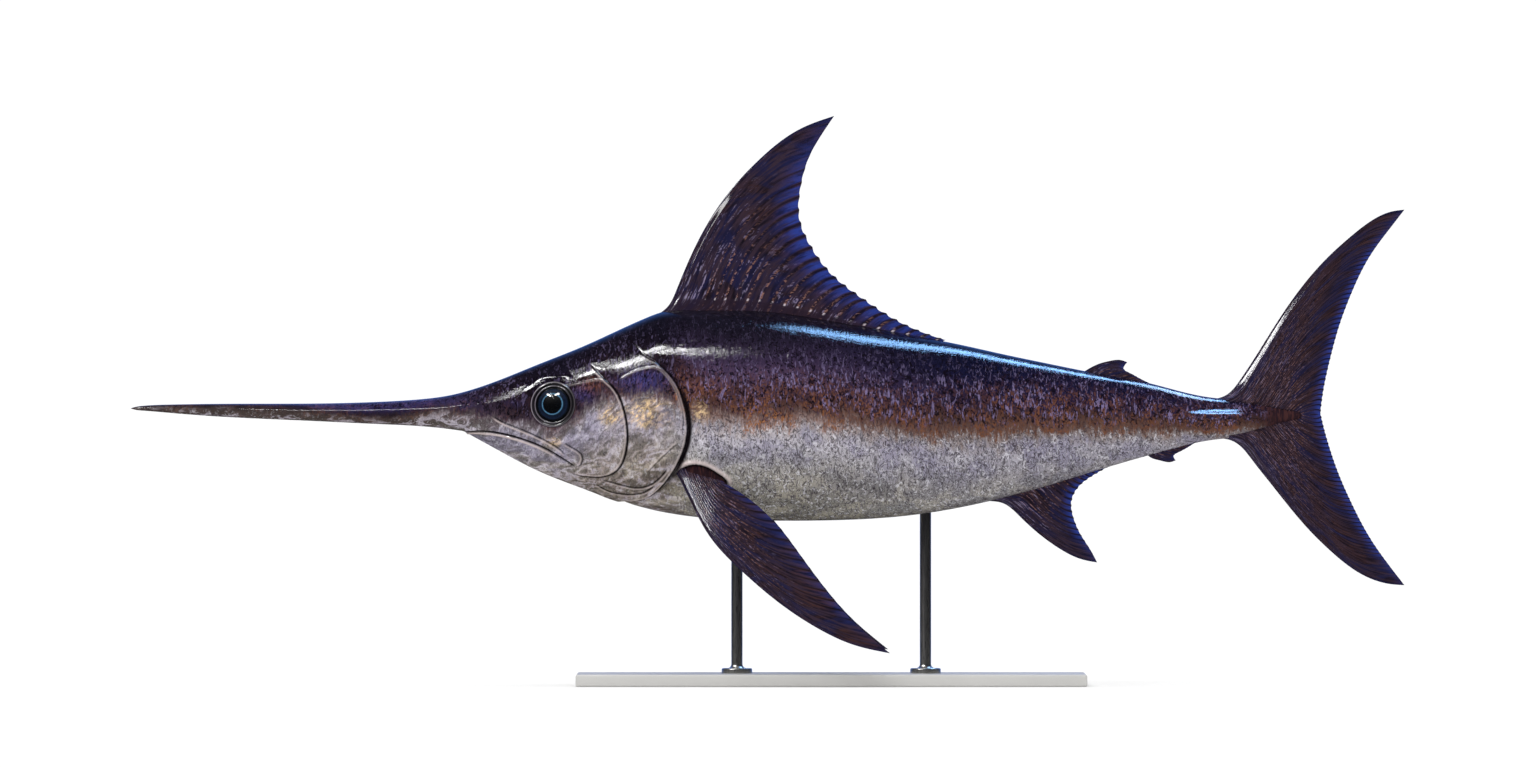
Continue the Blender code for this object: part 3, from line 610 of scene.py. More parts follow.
# %% The eye's well
EYE_ALONG, EYE_UP = 830, 22
EYE_FLAT_REACH = (47, 70)  # the skin is flattened inside the first radius, fading to the second
EYE_FLAT_SHARE = 0.5
EYE_WELL_RADIUS, EYE_WELL_DEPTH = 40, 16
HEAD_HALF = 60  # skin further than this behind the eye's plane is left as it is


def eye_axes():
    """The middle of the right eye on the skin, the way it faces, and its axes back and up."""
    step = 12
    middle = on_right_side(EYE_ALONG, EYE_UP)
    backward = on_right_side(EYE_ALONG + step, EYE_UP) - middle
    upward = on_right_side(EYE_ALONG, EYE_UP + step) - middle
    facing = np.cross(upward, backward)
    facing /= np.linalg.norm(facing)
    backward /= np.linalg.norm(backward)
    return middle, facing, backward, np.cross(backward, facing)


eye_middle, eye_facing, eye_back, eye_up = eye_axes()
if eye_facing[1] < 0:
    eye_facing, eye_up = -eye_facing, -eye_up

offset = points - eye_middle
height = offset @ eye_facing
radius = np.linalg.norm(offset - height[:, None] * eye_facing, axis=1)
radius = np.where(height > -HEAD_HALF, radius, FAR)
flatten = EYE_FLAT_SHARE * smooth_step(EYE_FLAT_REACH[1], EYE_FLAT_REACH[0], radius)
lift -= EYE_WELL_DEPTH * smooth_step(EYE_WELL_RADIUS + 2.5, EYE_WELL_RADIUS - 3, radius)
pressed = -(flatten * height)[:, None] * eye_facing
pressed[:, 1] *= np.sign(smooth[:, 1])
print("the right eye faces", eye_facing.round(2))

# %% [markdown]
# Now the smooth skin, the lift and the pressing are put together. The first and the last ring are
# each drawn to a point, which closes the bill's tip and the end of the stalk inside the tail.

# %% The shaped skin
ends = (along <= ZONES[0][0]) | (along >= STALK_END)
lift[ends] = 0
shaped = smooth + outward * lift[:, None] + pressed
middle = np.stack([along, np.zeros_like(along), widest_level(along)], axis=-1)
shaped[ends] = middle[ends]
print("the skin is moved by", round(float(lift.min()), 1), "to", round(float(lift.max()), 1), "mm")

# %% [markdown]
# The finish has to know where it is on the fish. Plain facts are kept on the mesh for it: the
# height above the line where the dark back meets the silver side, the painted shade of the creases,
# the painted highlights of rims and lips, and patches of gold and violet on the head. They could be
# painted on an image, but numbers on the points stay sharp at any size, and they turn with the mesh
# in any view.

# %% Facts for the finish
DARK_EDGE = (
    (0, 6), (353, -4), (569, -7), (600, -1), (689, -14), (784, -34), (860, -24), (903, 8),
    (951, 30), (1000, 36), (1046, 32), (1093, 0), (1130, -15), (1260, -20), (1420, -28),
    (1511, -43), (1620, -45), (1825, -35), (1960, -34), (2060, -36), (2141, -35), (2200, -31),
    (2300, -24),
)
DARK_DEPTH = ((1750, 2000, 2160), (100, 70, 52))  # mm per unit of height, less at the tail
GOLD_PATCHES = ((1017, 3, 42, 28, 1.0), (944, 0, 24, 18, 0.9), (832, -52, 20, 10, 0.5),
                (1120, 6, 16, 22, 0.6))
VIOLET_PATCHES = ((1008, 68, 52, 24, 1.0), (752, 24, 24, 12, 0.35), (893, 42, 22, 20, 0.8))
RUST_PATCHES = ((908, 60, 30, 18, 0.9), (1128, 48, 34, 26, 0.6), (1090, 80, 30, 20, 0.4))


def patches(listed):
    """Soft spots on the side, each (along, up, length, height, strength)."""
    total = np.zeros(len(points))
    for x, y, wide, tall, strength in listed:
        total += strength * bell(points[:, 0] - x, wide) * bell(points[:, 2] - y, tall)
    return np.clip(total, 0, 1)


facts = {
    "height": (points[:, 2] - spline(DARK_EDGE)(along)) / np.interp(along, *DARK_DEPTH),
    "rear": smooth_step(1180, 1700, along),
    "head": smooth_step(1120, 1040, along),
    "bill": smooth_step(760, 560, along),
    "painted_shade": painted_shade,
    "pale": pale,
    "fin_root": np.maximum(fleshy_root, smooth_step(2185, 2262, along)),
    "gold": patches(GOLD_PATCHES),
    "violet": patches(VIOLET_PATCHES),
    "rust": patches(RUST_PATCHES),
}
print(len(facts), "facts for the finish")

# %% [markdown]
# The marks in a fish's skin are drawn out along or across its body, so they need coordinates that
# lie in the skin: along the fish, and round it from the middle of the back. The way round is summed
# from short chords of each section. Plain object coordinates would squeeze the marks on the back
# and the belly, where the skin turns away. The grid's two long sides are joined along the middle of
# the back. Inside the root of the tail they stay up to 0.2 mm apart, where the keels' ridge reaches
# the back. The tail's flesh covers those 90 mm, and they are the open edges counted below.

# %% Coordinates in the skin, and the finished mesh


def girth_run():
    """The distance round the body from the middle of the back, in mm."""
    halves = 64
    turns = np.linspace(0, math.pi, halves)
    stations = np.linspace(0, STALK_END, 240)
    rings = skin_at(np.repeat(stations, halves), np.tile(turns, len(stations)))
    lengths = np.linalg.norm(np.diff(rings.reshape(len(stations), halves, 3), axis=1), axis=2)
    table = np.concatenate([np.zeros((len(stations), 1)), np.cumsum(lengths, axis=1)], axis=1)
    row = np.clip(along / STALK_END * (len(stations) - 1), 0, len(stations) - 1.001)
    column = np.clip((math.pi - abs(turn - math.pi)) / math.pi * (halves - 1), 0, halves - 1.001)
    i, j = row.astype(int), column.astype(int)
    a, b = row - i, column - j
    near = table[i, j] * (1 - b) + table[i, j + 1] * b
    far = table[i + 1, j] * (1 - b) + table[i + 1, j + 1] * b
    return near * (1 - a) + far * a


lie = np.column_stack([along, girth_run(), smooth[:, 1]]) * MM


def store(bm, name, values):
    """Keeps a number on each point of a mesh, for its finish to read."""
    layer = bm.verts.layers.float.new(name)
    for vertex, value in zip(bm.verts, values):
        vertex[layer] = value


def store_lie(bm, values):
    """Keeps surface coordinates, in metres, on each point of a mesh."""
    layer = bm.verts.layers.float_vector.new("lie")
    for vertex, value in zip(bm.verts, values):
        vertex[layer] = Vector(value)


for name, values in facts.items():
    store(skin_grid, name, values.tolist())
store_lie(skin_grid, lie)
for vertex, position in zip(skin_grid.verts, place(*shaped.T)):
    vertex.co = position
bmesh.ops.remove_doubles(skin_grid, verts=skin_grid.verts, dist=1e-6)
bmesh.ops.recalc_face_normals(skin_grid, faces=skin_grid.faces)
if skin_grid.calc_volume(signed=True) < 0:
    bmesh.ops.reverse_faces(skin_grid, faces=skin_grid.faces)
print("open edges:", sum(not e.is_manifold for e in skin_grid.edges))

# %% [markdown]
# A living swordfish is dark brown-violet on the back and turns through a coppery band to silver on
# the sides, with no scales when grown. So the ground of the finish is a set of colour ramps, read
# by the height above the edge of the dark back: one for the flank, one for the rear with its bluer
# back, one for the face and one for the bill.

# %% The ground colours of the skin
LOWEST, HIGHEST = -2.0, 2.4  # the heights at the two ends of the colour ramps
# In the flank, rear and face ramps the lowest stops grow darker again towards the belly: painted
# shade on the underside.
FLANK_RAMP = (
    (-1.95, "#7b766a"), (-1.6, "#8b877d"), (-1.0, "#979492"), (-0.6, "#a8a5a7"),
    (-0.28, "#c2bdc7"), (-0.12, "#b4acaf"), (0.06, "#937d79"), (0.28, "#4e3735"),
    (0.50, "#412d31"), (0.78, "#3b2b3b"), (1.05, "#42344e"), (1.4, "#2c2236"),
    (1.8, "#191521"), (2.3, "#0f0f19"),
)
REAR_RAMP = (
    (-1.9, "#7f7b6f"), (-0.9, "#95929a"), (-0.3, "#a9a5b0"), (-0.04, "#8c8180"),
    (0.1, "#664d45"), (0.34, "#43302e"), (0.6, "#2a2036"), (0.95, "#191732"),
    (1.3, "#0e1029"), (2.2, "#0a0c1f"),
)
FACE_RAMP = (
    (-1.9, "#857873"), (-1.3, "#a2958f"), (-0.6, "#a9a0a3"), (-0.2, "#918a91"),
    (0.02, "#71666c"), (0.2, "#3f323d"), (0.42, "#261c25"), (0.8, "#19121c"),
    (1.3, "#14111c"), (2.2, "#0e0e18"),
)
BILL_RAMP = (
    (-0.3, "#5c514d"), (-0.05, "#4f4340"), (0.07, "#453a38"), (0.13, "#2a2026"),
    (0.18, "#231c30"), (0.26, "#2f2a52"), (0.5, "#2b2646"), (1.0, "#1d1a2b"),
)
print("the flank goes through", len(FLANK_RAMP), "colours from belly to back")

# %% [markdown]
# Over the ground lie the marks, as a taxidermist's airbrush would lay them: copper, gold, clouds
# and dark curls, with lilac glints and bright sparks that are painted highlights. Each layer is a
# colour, and the ranges whose product is its strength: what is read, the two values between which
# it rises or falls, and the strength at each. The real marks and wrinkles are often under a
# millimetre wide. They are drawn several millimetres wide, because one pixel of the picture covers
# three.

# %% The marks of the skin
SKIN_MARKS = {  # the size along the fish and round it, in mm, then detail, roughness and bending
    "broad": (70, 60, 3, 0.55, 0.6), "drips": (8, 36, 5, 0.65, 0.6),
    "strokes": (6, 20, 3, 0.6, 1.2), "specks": (7, 10, 3, 0.6, 1.2), "folds": (16, 11, 3, 0.6, 1.2),
    "curls": (16, 24, 2, 0.5, 2.6), "flecks": (7, 13, 4, 0.55, 1.8),
    "blotches": (34, 24, 3, 0.45, 1.4), "combed": (5, 30, 3, 0.6, 0.5),
}
SKIN_LAYERS = (
    ("#37356a", ("violet", 0, 1, 0, 1), ("strokes", 0.38, 0.56, 0.35, 0.95)),
    ("#6a3f2c", ("rust", 0, 1, 0, 1), ("strokes", 0.42, 0.54, 0, 1)),
    # Copper hangs in the band between the dark back and the silver side.
    ("#67412f", ("frayed", -0.05, 0.15, 0, 1), ("frayed", 1.3, 0.55, 0, 1),
     ("head", 1, 0.3, 0.1, 1), ("broad", 0.3, 0.6, 0.3, 1), ("flecks", 0.46, 0.57, 0, 0.9)),
    ("#a36a40", ("frayed", -0.1, 0.06, 0, 1), ("frayed", 0.6, 0.25, 0, 1), ("head", 1, 0.3, 0.1, 1),
     ("rear", 0.5, 0, 0.1, 1), ("broad", 0.42, 0.6, 0, 1), ("flecks", 0.50, 0.60, 0, 0.85)),
    # Painted lilac and blue glints, and near-black marks, lie in the dark skin.
    ("#776b91", ("frayed", 0.2, 0.55, 0, 1), ("frayed", 1.7, 0.9, 0.12, 1),
     ("head", 0, 1, 1, 0.4), ("strokes", 0.52, 0.64, 0, 0.9)),
    ("#0f0a13", ("frayed", 0.05, 0.35, 0, 1), ("specks", 0.50, 0.38, 0, 0.9)),
    # The cheeks are clouded olive, lilac and white, with gold on the gill cover.
    ("#6b6656", ("head", 0, 1, 0, 1), ("frayed", 0.1, -0.2, 0, 1),
     ("blotches", 0.50, 0.38, 0, 0.45)),
    ("#cdc6d4", ("head", 0, 1, 0, 1), ("frayed", 0.15, -0.1, 0, 1),
     ("blotches", 0.52, 0.62, 0, 0.5)),
    ("#a88d73", ("gold", 0.1, 0.9, 0, 0.55)),
    ("#f0cfa0", ("gold", 0, 0.8, 0, 1), ("folds", 0.45, 0.58, 0, 0.95)),
    # The silver is clouded lilac above and olive below, with dark marks, fine dark curls and
    # painted bright glints, all fainter on the head.
    ("#a39dbd", ("frayed", 0, -0.25, 0, 1), ("frayed", -1.0, -0.5, 0, 1),
     ("broad", 0.56, 0.42, 0, 0.45)),
    ("#aaa38c", ("frayed", -0.4, -1.1, 0, 1), ("broad", 0.45, 0.60, 0, 0.35)),
    ("#57535a", ("frayed", 0.1, -0.2, 0, 1), ("head", 0, 1, 1, 0.45),
     ("strokes", 0.48, 0.38, 0, 0.7)),
    ("#3d363c", ("frayed", 0.35, 0, 0, 1), ("head", 0, 1, 1, 0.6),
     ("curl_lines", 0.045, 0.02, 0, 0.8)),
    ("#e2e0e8", ("frayed", 0.15, -0.1, 0, 1), ("head", 0, 1, 1, 0.6),
     ("specks", 0.56, 0.64, 0, 0.6)),
)
# The pale lips and rims are painted highlights, and the dark creases painted shade.
SKIN_DETAILS = (  # over all of that: flesh at the fins' roots, pale lips and rims, dark creases
    ("#281a20", ("fin_root", 0, 1, 0, 1)),
    ("#4a2d2c", ("fin_root", 0, 1, 0, 1), ("combed", 0.45, 0.6, 0, 0.7)),
    ("#d6c6c4", ("pale", 0, 1, 0, 0.8)),
    ("#0d080c", ("painted_shade", 0, 1, 0, 1)),
)
print(len(SKIN_LAYERS) + len(SKIN_DETAILS), "layers, from", len(SKIN_MARKS), "patterns")

# %% [markdown]
# Two helpers turn such tables into nodes. One grows the noise patterns, stretched to their sizes.
# The other lays the layers, one Mix node each, with its ranges multiplied together. Written out by
# hand, the same finish would take some two hundred lines that differ only in their numbers.

# %% Growing marks and laying paint
SMOOTH = {"interpolation_type": "SMOOTHSTEP"}
PAINT = {"data_type": "RGBA"}


def grow_marks(tree, lie, sizes):
    """Noise patterns by name, whose marks have the sizes given in mm."""
    marks = {}
    for name, (wide, tall, detail, rough, bend) in sizes.items():
        per_metre = (1000 / wide, 1000 / tall, 1000 / tall)
        moved = add(tree, "Mapping", {"Vector": lie, "Scale": per_metre})
        marks[name] = add(tree, "TexNoise", {"Vector": moved, "Scale": 1.0, "Detail": detail,
                                             "Roughness": rough, "Distortion": bend})
    return marks


def paint_layers(tree, colour, layers, sources):
    """Lays each layer of paint over the last, where its ranges let it show."""
    for code, *ranges in layers:
        strength = 1.0
        for source, *ends in ranges:
            part = add(tree, "MapRange", (sources[source], *ends), **SMOOTH)
            strength = add(tree, "Math", (part, strength), operation="MULTIPLY")
        colour = add(tree, "Mix", (strength, colour, linear(code)), **PAINT)
    return colour


print("a mark", SKIN_MARKS["strokes"][0], "mm wide repeats", round(1000 / SKIN_MARKS["strokes"][0]),
      "times a metre")

# %% [markdown]
# The real finish is living hide: thin, scaleless and wet, with plates of guanine under it that
# gleam like dull metal. To the eye it is a soft, slightly metallic ground under a sharp clear
# gloss. So the base is rough, only the silver is partly metallic, and the gloss comes from a thin
# clear coat alone. The wrinkled flesh and the wet film over it have a bump each, because the film
# fills the finest wrinkles, and its highlights break up more gently.

# %% Wet skin


def wet_fish_skin():
    """Wet scaleless hide: matt gleaming colour under a clear gloss."""
    made, tree, shader = new_finish("wet_fish_skin")
    lie = add(tree, "Attribute", take="Vector", attribute_name="lie")
    read = {name: add(tree, "Attribute", take="Fac", attribute_name=name) for name in facts}
    read |= grow_marks(tree, lie, SKIN_MARKS)
    offset = add(tree, "Math", (read["curls"], 0.5), operation="SUBTRACT")
    read["curl_lines"] = add(tree, "Math", (offset,), operation="ABSOLUTE")

    # The edge of the dark back hangs down in ragged streaks, but not on the narrow bill.
    fray = add(tree, "Math", (read["drips"], 0.60, -0.80), operation="MULTIPLY_ADD")
    fray = add(tree, "Math", (read["broad"], 0.55, fray), operation="MULTIPLY_ADD")
    fray = add(tree, "Math", (read["strokes"], 0.45, fray), operation="MULTIPLY_ADD")
    quiet = add(tree, "MapRange", (read["bill"], 0, 1, 1, 0.12))
    frayed = add(tree, "Math", (fray, quiet, read["height"]), operation="MULTIPLY_ADD")
    read["frayed"] = frayed
    position = add(tree, "MapRange", (frayed, LOWEST, HIGHEST))

    colour = None
    for ramp, where in ((FLANK_RAMP, None), (REAR_RAMP, "rear"), (FACE_RAMP, "head"),
                        (BILL_RAMP, "bill")):
        stops = [((height - LOWEST) / (HIGHEST - LOWEST), code) for height, code in ramp]
        shade = add(tree, "ValToRGB", (position,), stops=stops)
        colour = add(tree, "Mix", (read[where], colour, shade), **PAINT) if where else shade
    colour = paint_layers(tree, colour, SKIN_LAYERS, read)
    tone = add(tree, "MapRange", (read["broad"], 0.25, 0.75, 0.78, 1.18), **SMOOTH)
    colour = add(tree, "Mix", (1.0, colour, tone), blend_type="MULTIPLY", **PAINT)
    mottle = add(tree, "MapRange", (read["blotches"], 0.36, 0.60, 0.74, 1.16), **SMOOTH)
    colour = add(tree, "Mix", (read["head"], colour, mottle), blend_type="MULTIPLY", **PAINT)
    colour = paint_layers(tree, colour, SKIN_DETAILS, read)
    tree.links.new(colour, shader.inputs["Base Color"])

    metal = add(tree, "MapRange", (frayed, 0.1, -0.2, 0, 0.15), **SMOOTH)
    tree.links.new(metal, shader.inputs["Metallic"])
    rough = add(tree, "MapRange", (read["strokes"], 0.3, 0.7, 0.36, 0.55), **SMOOTH)
    tree.links.new(rough, shader.inputs["Roughness"])
    shader.inputs["IOR"].default_value = 1.40
    shader.inputs["Specular IOR Level"].default_value = 0.0
    shader.inputs["Coat Weight"].default_value = 0.8
    shader.inputs["Coat Roughness"].default_value = 0.06

    # The flesh is wrinkled, and the wet film over it follows more softly, least on the bony head.
    bump = add(tree, "Bump", {"Height": read["folds"], "Strength": 0.7, "Distance": 0.0012})
    bump = add(tree, "Bump", {"Height": read["strokes"], "Strength": 0.7, "Distance": 0.0012,
                              "Normal": bump})
    tree.links.new(bump, shader.inputs["Normal"])
    film = add(tree, "MapRange", (read["head"], 0, 1, 0.55, 0.26))
    combing = add(tree, "MapRange", (read["head"], 0, 1, 0.6, 0.0))
    coat = add(tree, "Bump", {"Height": read["folds"], "Strength": film, "Distance": 0.0007})
    coat = add(tree, "Bump", {"Height": read["strokes"], "Strength": film, "Distance": 0.0004,
                              "Normal": coat})
    coat = add(tree, "Bump", {"Height": read["combed"], "Strength": combing, "Distance": 0.0005,
                              "Normal": coat})
    tree.links.new(coat, shader.inputs["Coat Normal"])
    return made


skin_finish = wet_fish_skin()
FLESH = ["bill", "head", "lower_jaw", "gill_cover_left", "gill_cover_right", "body_front",
         "body_rear", "tail_stalk"]
make_piece("swordfish_skin", skin_grid, skin_finish, FLESH)

# %% [markdown]
# A swordfish has a very large eye, and no lids that move. The eyeball here is a flattened ball that
# lies as the solid does, set in the well. A model maker would use a glass eye: the iris and pupil
# are painted on its back, and the clear glass in front stands for the wet cornea. To the eye that
# is a deep dark blue with one sharp highlight. So the colours go by the distance from the eye's
# axis, which is kept on the mesh, under a coat that is nearly a mirror.

# %% Eyes
EYE_RADIUS, EYE_HALF_DEPTH, EYE_SINK = 40, 24, 15
EYE_FACETS, EYE_RINGS = 72, 48
SEEN_RADIUS = 34  # the eye's visible radius, inside the rim
SPOKE_RING, SPOKE_DEPTH = 9, 1.2  # in spokes: a ring of this radius is some 56 spokes long


def eye_place(x, y, z, side):
    """Places given on the eye's axes, in mm: x back, y up and z out of the head."""
    spots = (eye_middle + x[:, None] * eye_back + y[:, None] * eye_up + z[:, None] * eye_facing)
    return place(spots[:, 0], side * spots[:, 1], spots[:, 2])


def glassy_eye():
    """Painted glass: a black pupil, a pale ring and a navy iris, under a clear coat."""
    made, tree, shader = new_finish("wet_eye")
    radius = add(tree, "Attribute", take="Fac", attribute_name="radius")
    lie = add(tree, "Attribute", take="Vector", attribute_name="lie")
    spokes = add(tree, "TexNoise", {"Vector": lie, "Scale": 1.0, "Detail": 3.0, "Distortion": 0.4})
    bent = add(tree, "Math", (spokes, 0.05, radius), operation="MULTIPLY_ADD")
    iris = add(tree, "ValToRGB", (bent,), stops=(
        (0.02, "#010204"), (0.57, "#020408"), (0.60, "#38607f"), (0.63, "#527f9c"),
        (0.66, "#15293f"), (0.72, "#0a1424"), (0.84, "#0f1c33"), (0.92, "#090f1a"),
        (0.97, "#05070b"), (1.0, "#040406"),
    ))
    streaks = add(tree, "MapRange", (spokes, 0.3, 0.7, 0.65, 1.35))
    colour = add(tree, "Mix", (1.0, iris, streaks), blend_type="MULTIPLY", **PAINT)
    tree.links.new(colour, shader.inputs["Base Color"])
    shader.inputs["Roughness"].default_value = 0.4
    shader.inputs["Specular IOR Level"].default_value = 0.1
    shader.inputs["IOR"].default_value = 1.38
    shader.inputs["Coat Weight"].default_value = 1.0
    shader.inputs["Coat Roughness"].default_value = 0.02
    return made


def make_eyeball(name, side, covered):
    bm = bmesh.new()
    bmesh.ops.create_uvsphere(bm, u_segments=EYE_FACETS, v_segments=EYE_RINGS, radius=1)
    x, y, z = np.array([v.co[:] for v in bm.verts]).T
    radius = np.hypot(x, y) * EYE_RADIUS / SEEN_RADIUS
    angle = np.arctan2(y, x)
    store(bm, "radius", np.where(z > 0, np.minimum(radius, 1), 1).tolist())
    store_lie(bm, np.column_stack([np.cos(angle) * SPOKE_RING, np.sin(angle) * SPOKE_RING,
                                   radius * SPOKE_DEPTH]))
    spots = eye_place(x * EYE_RADIUS, y * EYE_RADIUS, z * EYE_HALF_DEPTH - EYE_SINK, side)
    for vertex, spot in zip(bm.verts, spots):
        vertex.co = spot
    bmesh.ops.recalc_face_normals(bm, faces=bm.faces)
    return make_piece(name, bm, eye_finish, [covered])


eye_finish = glassy_eye()
make_eyeball("eyeball_left", -1, "eye_left")
make_eyeball("eyeball_right", 1, "eye_right")

# %% [markdown]
# A ring of bare skin, with two soft beads and a groove, closes the well round the eye. It is one
# profile turned about the eye's axis, as on a lathe, and then laid on the skin, which curves away
# under it. Its skin is dark, with painted shade in the groove and down into the well, and a painted
# highlight on each bead, brightest on the side towards the bill and the lights. It is as wet as the
# rest, so the beads also catch thin arcs of real light.

# %% Eye rims
RIM_FACETS = 96
RIM_PROFILE = (  # (radius, height), in mm, from the eye outwards
    (33.2, -6.5), (34.3, -3.0), (34.9, -1.6), (35.6, -0.7), (36.5, -0.5), (37.3, -1.1),
    (37.9, -2.2), (38.5, -2.6), (39.2, -1.4), (40.1, 0.4), (41.4, 1.7), (42.9, 2.0), (44.2, 1.2),
    (45.2, -0.2), (46.0, -1.6), (47.5, -4.0),
)
RIM_WALL = 0.5
RIM_WRINKLE = 6.25  # coarser than the real wrinkles, which would not show


def rim_skin():
    """Bare wet skin, dark, with painted highlights on the beads and painted shade in the groove."""
    made, tree, shader = new_finish("eye_rim_skin")
    radius = add(tree, "Attribute", take="Fac", attribute_name="radius")
    forward = add(tree, "Attribute", take="Fac", attribute_name="forward")
    lie = add(tree, "Attribute", take="Vector", attribute_name="lie")
    blotch = add(tree, "TexNoise", {"Vector": lie, "Scale": 1000 / RIM_WRINKLE, "Detail": 3.0})
    # Painted shade on the inner slope and in the groove, painted highlights on the bead tops.
    ring_shade_and_highlights = add(tree, "ValToRGB", (radius,), stops=(
        (0.0, "#06060a"), (0.16, "#0e0c14"), (0.24, "#7d7480"), (0.30, "#2c2630"),
        (0.38, "#0b090e"), (0.54, "#18131b"), (0.66, "#2f2832"), (0.73, "#9a919b"),
        (0.79, "#352c37"), (0.90, "#120d16"), (1.0, "#17111a"),
    ))
    # The side towards the bill is painted brighter, as if lit from the front.
    pale = add(tree, "MapRange", (forward, -0.6, 1.0, 0.3, 1.15))
    colour = add(tree, "Mix", (1.0, ring_shade_and_highlights, pale), blend_type="MULTIPLY", **PAINT)
    tree.links.new(colour, shader.inputs["Base Color"])
    bump = add(tree, "Bump", {"Height": blotch, "Strength": 0.25, "Distance": 0.0005})
    tree.links.new(bump, shader.inputs["Normal"])
    shader.inputs["Roughness"].default_value = 0.32
    shader.inputs["Coat Weight"].default_value = 0.8
    shader.inputs["Coat Roughness"].default_value = 0.08
    return made


def make_eye_rim(name, side):
    """The ring is turned about the eye's axis, then laid on the skin, which bends under it."""
    bm = bmesh.new()
    line = [bm.verts.new((radius, 0, height)) for radius, height in RIM_PROFILE]
    edges = [bm.edges.new(pair) for pair in zip(line, line[1:])]
    bmesh.ops.spin(bm, geom=line + edges, cent=(0, 0, 0), axis=(0, 0, 1), angle=2 * math.pi,
                   steps=RIM_FACETS, use_merge=True)
    bmesh.ops.remove_doubles(bm, verts=bm.verts, dist=1e-4)
    x, y, z = np.array([v.co[:] for v in bm.verts]).T
    spots = eye_middle + x[:, None] * eye_back + y[:, None] * eye_up
    natural = (on_right_side(spots[:, 0], spots[:, 2])[:, 1] - spots[:, 1]) * eye_facing[1]
    rise = z + natural * (1 - EYE_FLAT_SHARE)
    radius = np.hypot(x, y)
    first, last = RIM_PROFILE[0][0], RIM_PROFILE[-1][0]
    store(bm, "radius", ((radius - first) / (last - first)).tolist())
    store(bm, "forward", (-x / radius).tolist())
    store_lie(bm, np.column_stack([x, y, z]) * MM)
    for vertex, spot in zip(bm.verts, eye_place(x, y, rise, side)):
        vertex.co = spot
    bmesh.ops.recalc_face_normals(bm, faces=bm.faces)
    outer = max(bm.faces, key=lambda f: abs(f.calc_center_median().y))
    if outer.normal.y * side < 0:
        bmesh.ops.reverse_faces(bm, faces=bm.faces)
    bmesh.ops.solidify(bm, geom=bm.faces[:], thickness=-RIM_WALL * MM)
    return make_piece(name, bm, rim_finish, [])


rim_finish = rim_skin()
make_eye_rim("eye_rim_left", -1)
make_eye_rim("eye_rim_right", 1)

# %% [markdown]
# A swordfish's fins are stiff blades: many bony rays side by side under one skin, thick and round
# along the front edge and thin as card behind. Each fin is given here by a few points of its front
# and rear edges, in the fish's frame, and by the measures that make its blade: the rays, the
# thickness at root, tip and rear edge, the ridges, the notches, and how its flesh swells at the
# root.

# %% The fins' outlines
# Each outline gives how far a painted blue rim light reaches in from the rear edge, in mm, and tint
# gives its strength.
FIRST_DORSAL = dict(
    front=((1020, 185), (1036, 199), (1049, 208.5), (1059.5, 221), (1069.5, 242), (1099, 312),
           (1158, 416.5), (1236, 504.5), (1315, 563), (1381, 588)),
    rear=((1381, 588), (1354, 547.5), (1334, 512), (1315, 446), (1314, 383), (1334, 335.5),
          (1374, 280.5), (1433, 233), (1511, 183.5), (1570, 158), (1600, 148)),
    root_end=(1586, 136), rays=22, root_half=13.5, tip_half=1.2, edge_half=0.7, ridge=1.1,
    crowd=(1.25, 0.9), notch=3.6, painted_blue_rim=38, tint=0.95, sheath=22, flesh=3, nose=(0.06, 0.32),
)
SECOND_DORSAL = dict(
    front=((1862, 80), (1884, 94), (1903, 102.5), (1923, 107.5), (1943, 109), (1956, 104.5)),
    rear=((1956, 104.5), (1949, 92.5), (1962, 83), (1982, 72), (2008, 59.5)),
    root_end=(1994, 56), rays=9, root_half=4, tip_half=0.9, edge_half=0.6, ridge=0.5,
    crowd=(1.1, 1.0), notch=1.2, painted_blue_rim=9, tint=0.9, sheath=0, flesh=3, nose=(0.06, 0.32),
)
FIRST_ANAL = dict(
    front=((1672, -165), (1688, -168), (1702, -169.5), (1714, -173), (1728, -182), (1746, -199),
           (1786, -235), (1825, -262.5), (1864, -281.5), (1897, -288.5)),
    rear=((1897, -288.5), (1884, -264), (1864, -232), (1850, -198), (1846.5, -170.5),
          (1864, -136.5), (1884, -121), (1922, -99)),
    root_end=(1908, -92), rays=18, root_half=7, tip_half=1.1, edge_half=0.7, ridge=0.8,
    crowd=(1.15, 0.95), notch=1.6, painted_blue_rim=16, tint=0.9, sheath=0, flesh=6, nose=(0.06, 0.32),
)
SECOND_ANAL = dict(
    front=((1988, -67), (2001, -82), (2021, -88.5), (2041, -91.5), (2051, -88)),
    rear=((2051, -88), (2047, -80.5), (2060, -70.5), (2088, -54)),
    root_end=(2075, -50), rays=8, root_half=3.5, tip_half=0.9, edge_half=0.6, ridge=0.4,
    crowd=(1.1, 1.0), notch=1.0, painted_blue_rim=7, tint=0.8, sheath=0, flesh=3, nose=(0.06, 0.32),
)
PECTORAL = dict(
    front=((1068, -104), (1099, -167), (1138, -237.5), (1197, -301), (1275, -367), (1354, -418),
           (1413, -445), (1489, -463)),
    rear=((1489, -463), (1416, -401), (1358, -334), (1308, -266), (1264, -209), (1207, -158),
          (1160, -128)),
    root_end=(1146, -116), rays=18, root_half=10, tip_half=1.1, edge_half=0.7, ridge=0.7,
    crowd=(1.05, 0.95), notch=1.0, painted_blue_rim=46, tint=0.38, sheath=0, flesh=3, nose=(0.06, 0.32),
)
